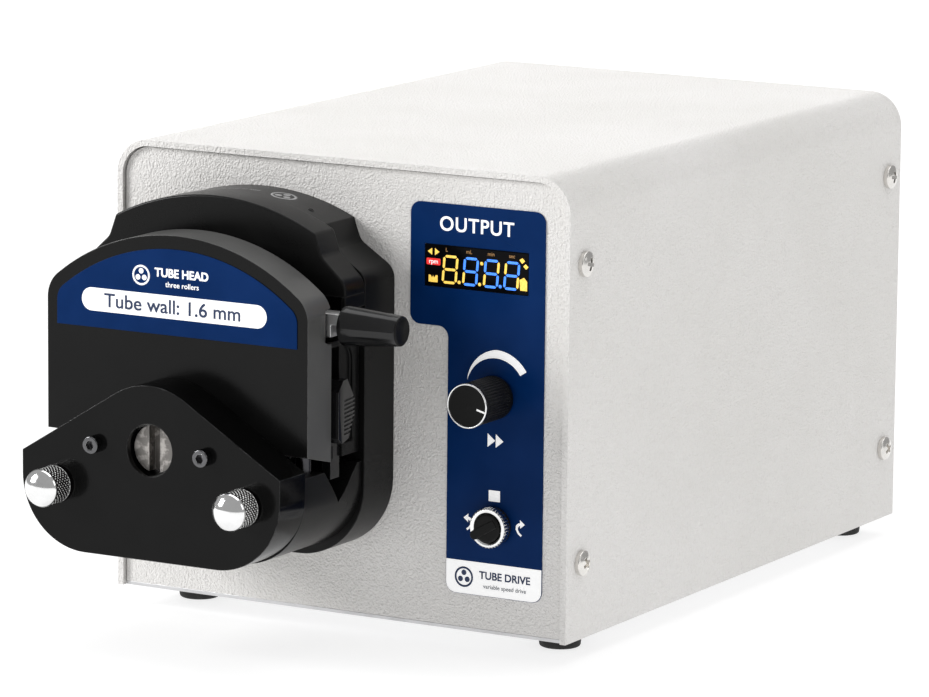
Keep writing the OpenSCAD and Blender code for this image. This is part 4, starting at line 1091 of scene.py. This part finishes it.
def make_lever_grip():
    """A tapered gloss grip with a rounded end, two moulding seams and a recessed cap."""
    low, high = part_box("lever_grip")
    centre = middle("lever_grip")
    thick, length = (high.z - low.z) / 2, high.x - low.x
    thin = max(v.co.z for v in NODES["lever_grip"].data.vertices if v.co.x > high.x - PAD) - centre.z
    seam = 0.12 * MM

    def seamed(angle, r, height):
        near = min(abs(remainder(angle - a, 2 * pi)) for a in (0.0, pi))
        inside = 1 * MM < height < length - 1 * MM
        return r + seam * exp(-(near / 0.05) ** 2) * inside

    taper = [(thick + (thin - thick) * t / 12, length * t / 12) for t in range(1, 12)]
    profile = [(0, 0), (thick - 0.7 * MM, 0), *arc((thick - 0.7 * MM, 0.7 * MM), 0.7 * MM, -90, 0, 5),
               *taper, *arc((thin - 0.6 * MM, length - 0.6 * MM), 0.6 * MM, 0, 90, 5),
               (thin - 1.1 * MM, length), (thin - 1.3 * MM, length - 0.3 * MM),
               (0, length - 0.35 * MM)]
    bm = bmesh.new()
    add_lathe(bm, profile, 160, toward(Vector((low.x, centre.y, centre.z)), (1, 0, 0)), seamed)
    grip = make_piece("lever_grip_moulded", bm, "gloss_plastic", "lever",
                      ("lever_grip",))
    finish_where(grip, "knob_plastic", lambda face: face.center.x > high.x - 0.5 * MM)
    shade_evenly(grip)


def make_lever_stop():
    """A domed stop in the step under the arm, beside the grip."""
    low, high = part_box("lever_arm")
    radius, drop = 1.5 * MM, 3.8 * MM
    place = Vector((high.x - 1.9 * MM, (low.y + high.y) / 2, PIVOT.z + 0.7 * MM))
    profile = [(0, 0), (radius, 0), (radius, drop - 1.2 * MM),
               *arc((radius - 1.2 * MM, drop - 1.2 * MM), 1.2 * MM, 0, 80, 8), (0, drop)]
    bm = bmesh.new()
    add_lathe(bm, profile, 48, toward(place, (0, 0, -1)))
    soften(make_piece("lever_stop", bm, "motor_steel", "lever"), 0.1 * MM, 2, 40)


def make_arch_skirts():
    """Thin lips that carry the arch's sides down past the gap that the block lifts into."""
    low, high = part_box("arch_frame")
    bed_low, bed_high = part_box("occlusion_bed")
    gap, top, bottom = 0.3 * MM, low.z + 0.4 * MM, low.z - 3.9 * MM
    bm = bmesh.new()
    for near, far in ((bed_high.x + gap, high.x), (bed_low.x - gap, low.x)):
        add_prism(bm, [(near, bottom), (far, bottom), (far, top), (near, top)], low.y, high.y)
    soften(make_piece("arch_skirts", bm, "head_plastic", "root"), 0.4 * MM)


def make_plate_screws():
    """Socket heads with a knurled rim and a hex recess."""
    bm, sockets = bmesh.new(), []
    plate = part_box("front_plate")[0].y
    for low, high in loose_solids("plate_screws"):
        centre = (low + high) / 2
        radius, height, thread_end = (high.x - low.x) / 2, plate - low.y, plate - high.y
        base = Vector((centre.x, plate, centre.z))

        def rim(angle, r, level):
            if r > radius - 0.05 * MM and 0.3 * MM < level < height - 0.5 * MM:
                return r - 0.12 * MM * (0.5 + 0.5 * cos(36 * angle))
            return r
        thread = radius * 0.54
        profile = [(0, thread_end), (thread, thread_end), (thread, 0), (radius - 0.15 * MM, 0),
                   (radius, 0.2 * MM), (radius, 0.5 * MM), (radius, height - 0.6 * MM),
                   *arc((radius - 0.35 * MM, height - 0.35 * MM), 0.35 * MM, 0, 90, 5), (0, height)]
        add_lathe(bm, profile, 144, toward(base, FRONT), rim)
        sockets.append((base, radius, height))
    piece = make_piece("plate_socket_screws", bm, "dark_steel", "root",
                       ("plate_screws",))
    for base, radius, height in sockets:
        cutter = bmesh.new()
        across = radius * 0.55
        add_lathe(cutter, [(across, height * 0.42), (across, height * 1.2)], 6, toward(base, FRONT))
        cut_away(piece, cutter)
    soften(piece, 0.07 * MM, 2, 40)


make_camera()
light_the_scene()
make_floor()
FINISHES = make_finishes()
dress_cad_parts()
make_phillips_screws("cover_pan_screws", "cover_screws", 2.55 * MM)
make_phillips_screws("rear_pan_screws", "rear_screws", 2.0 * MM)
make_feet()
make_panel_prints()
make_head_prints()
make_crown_marks()
make_display()
make_speed_knob()
make_selector()
make_selector_knob()
make_thumb_screw("left_thumb_screw", "left_thumb")
make_thumb_screw("right_thumb_screw", "right_thumb")
make_lever_grip()
make_lever_stop()
make_arch_skirts()
make_plate_screws()
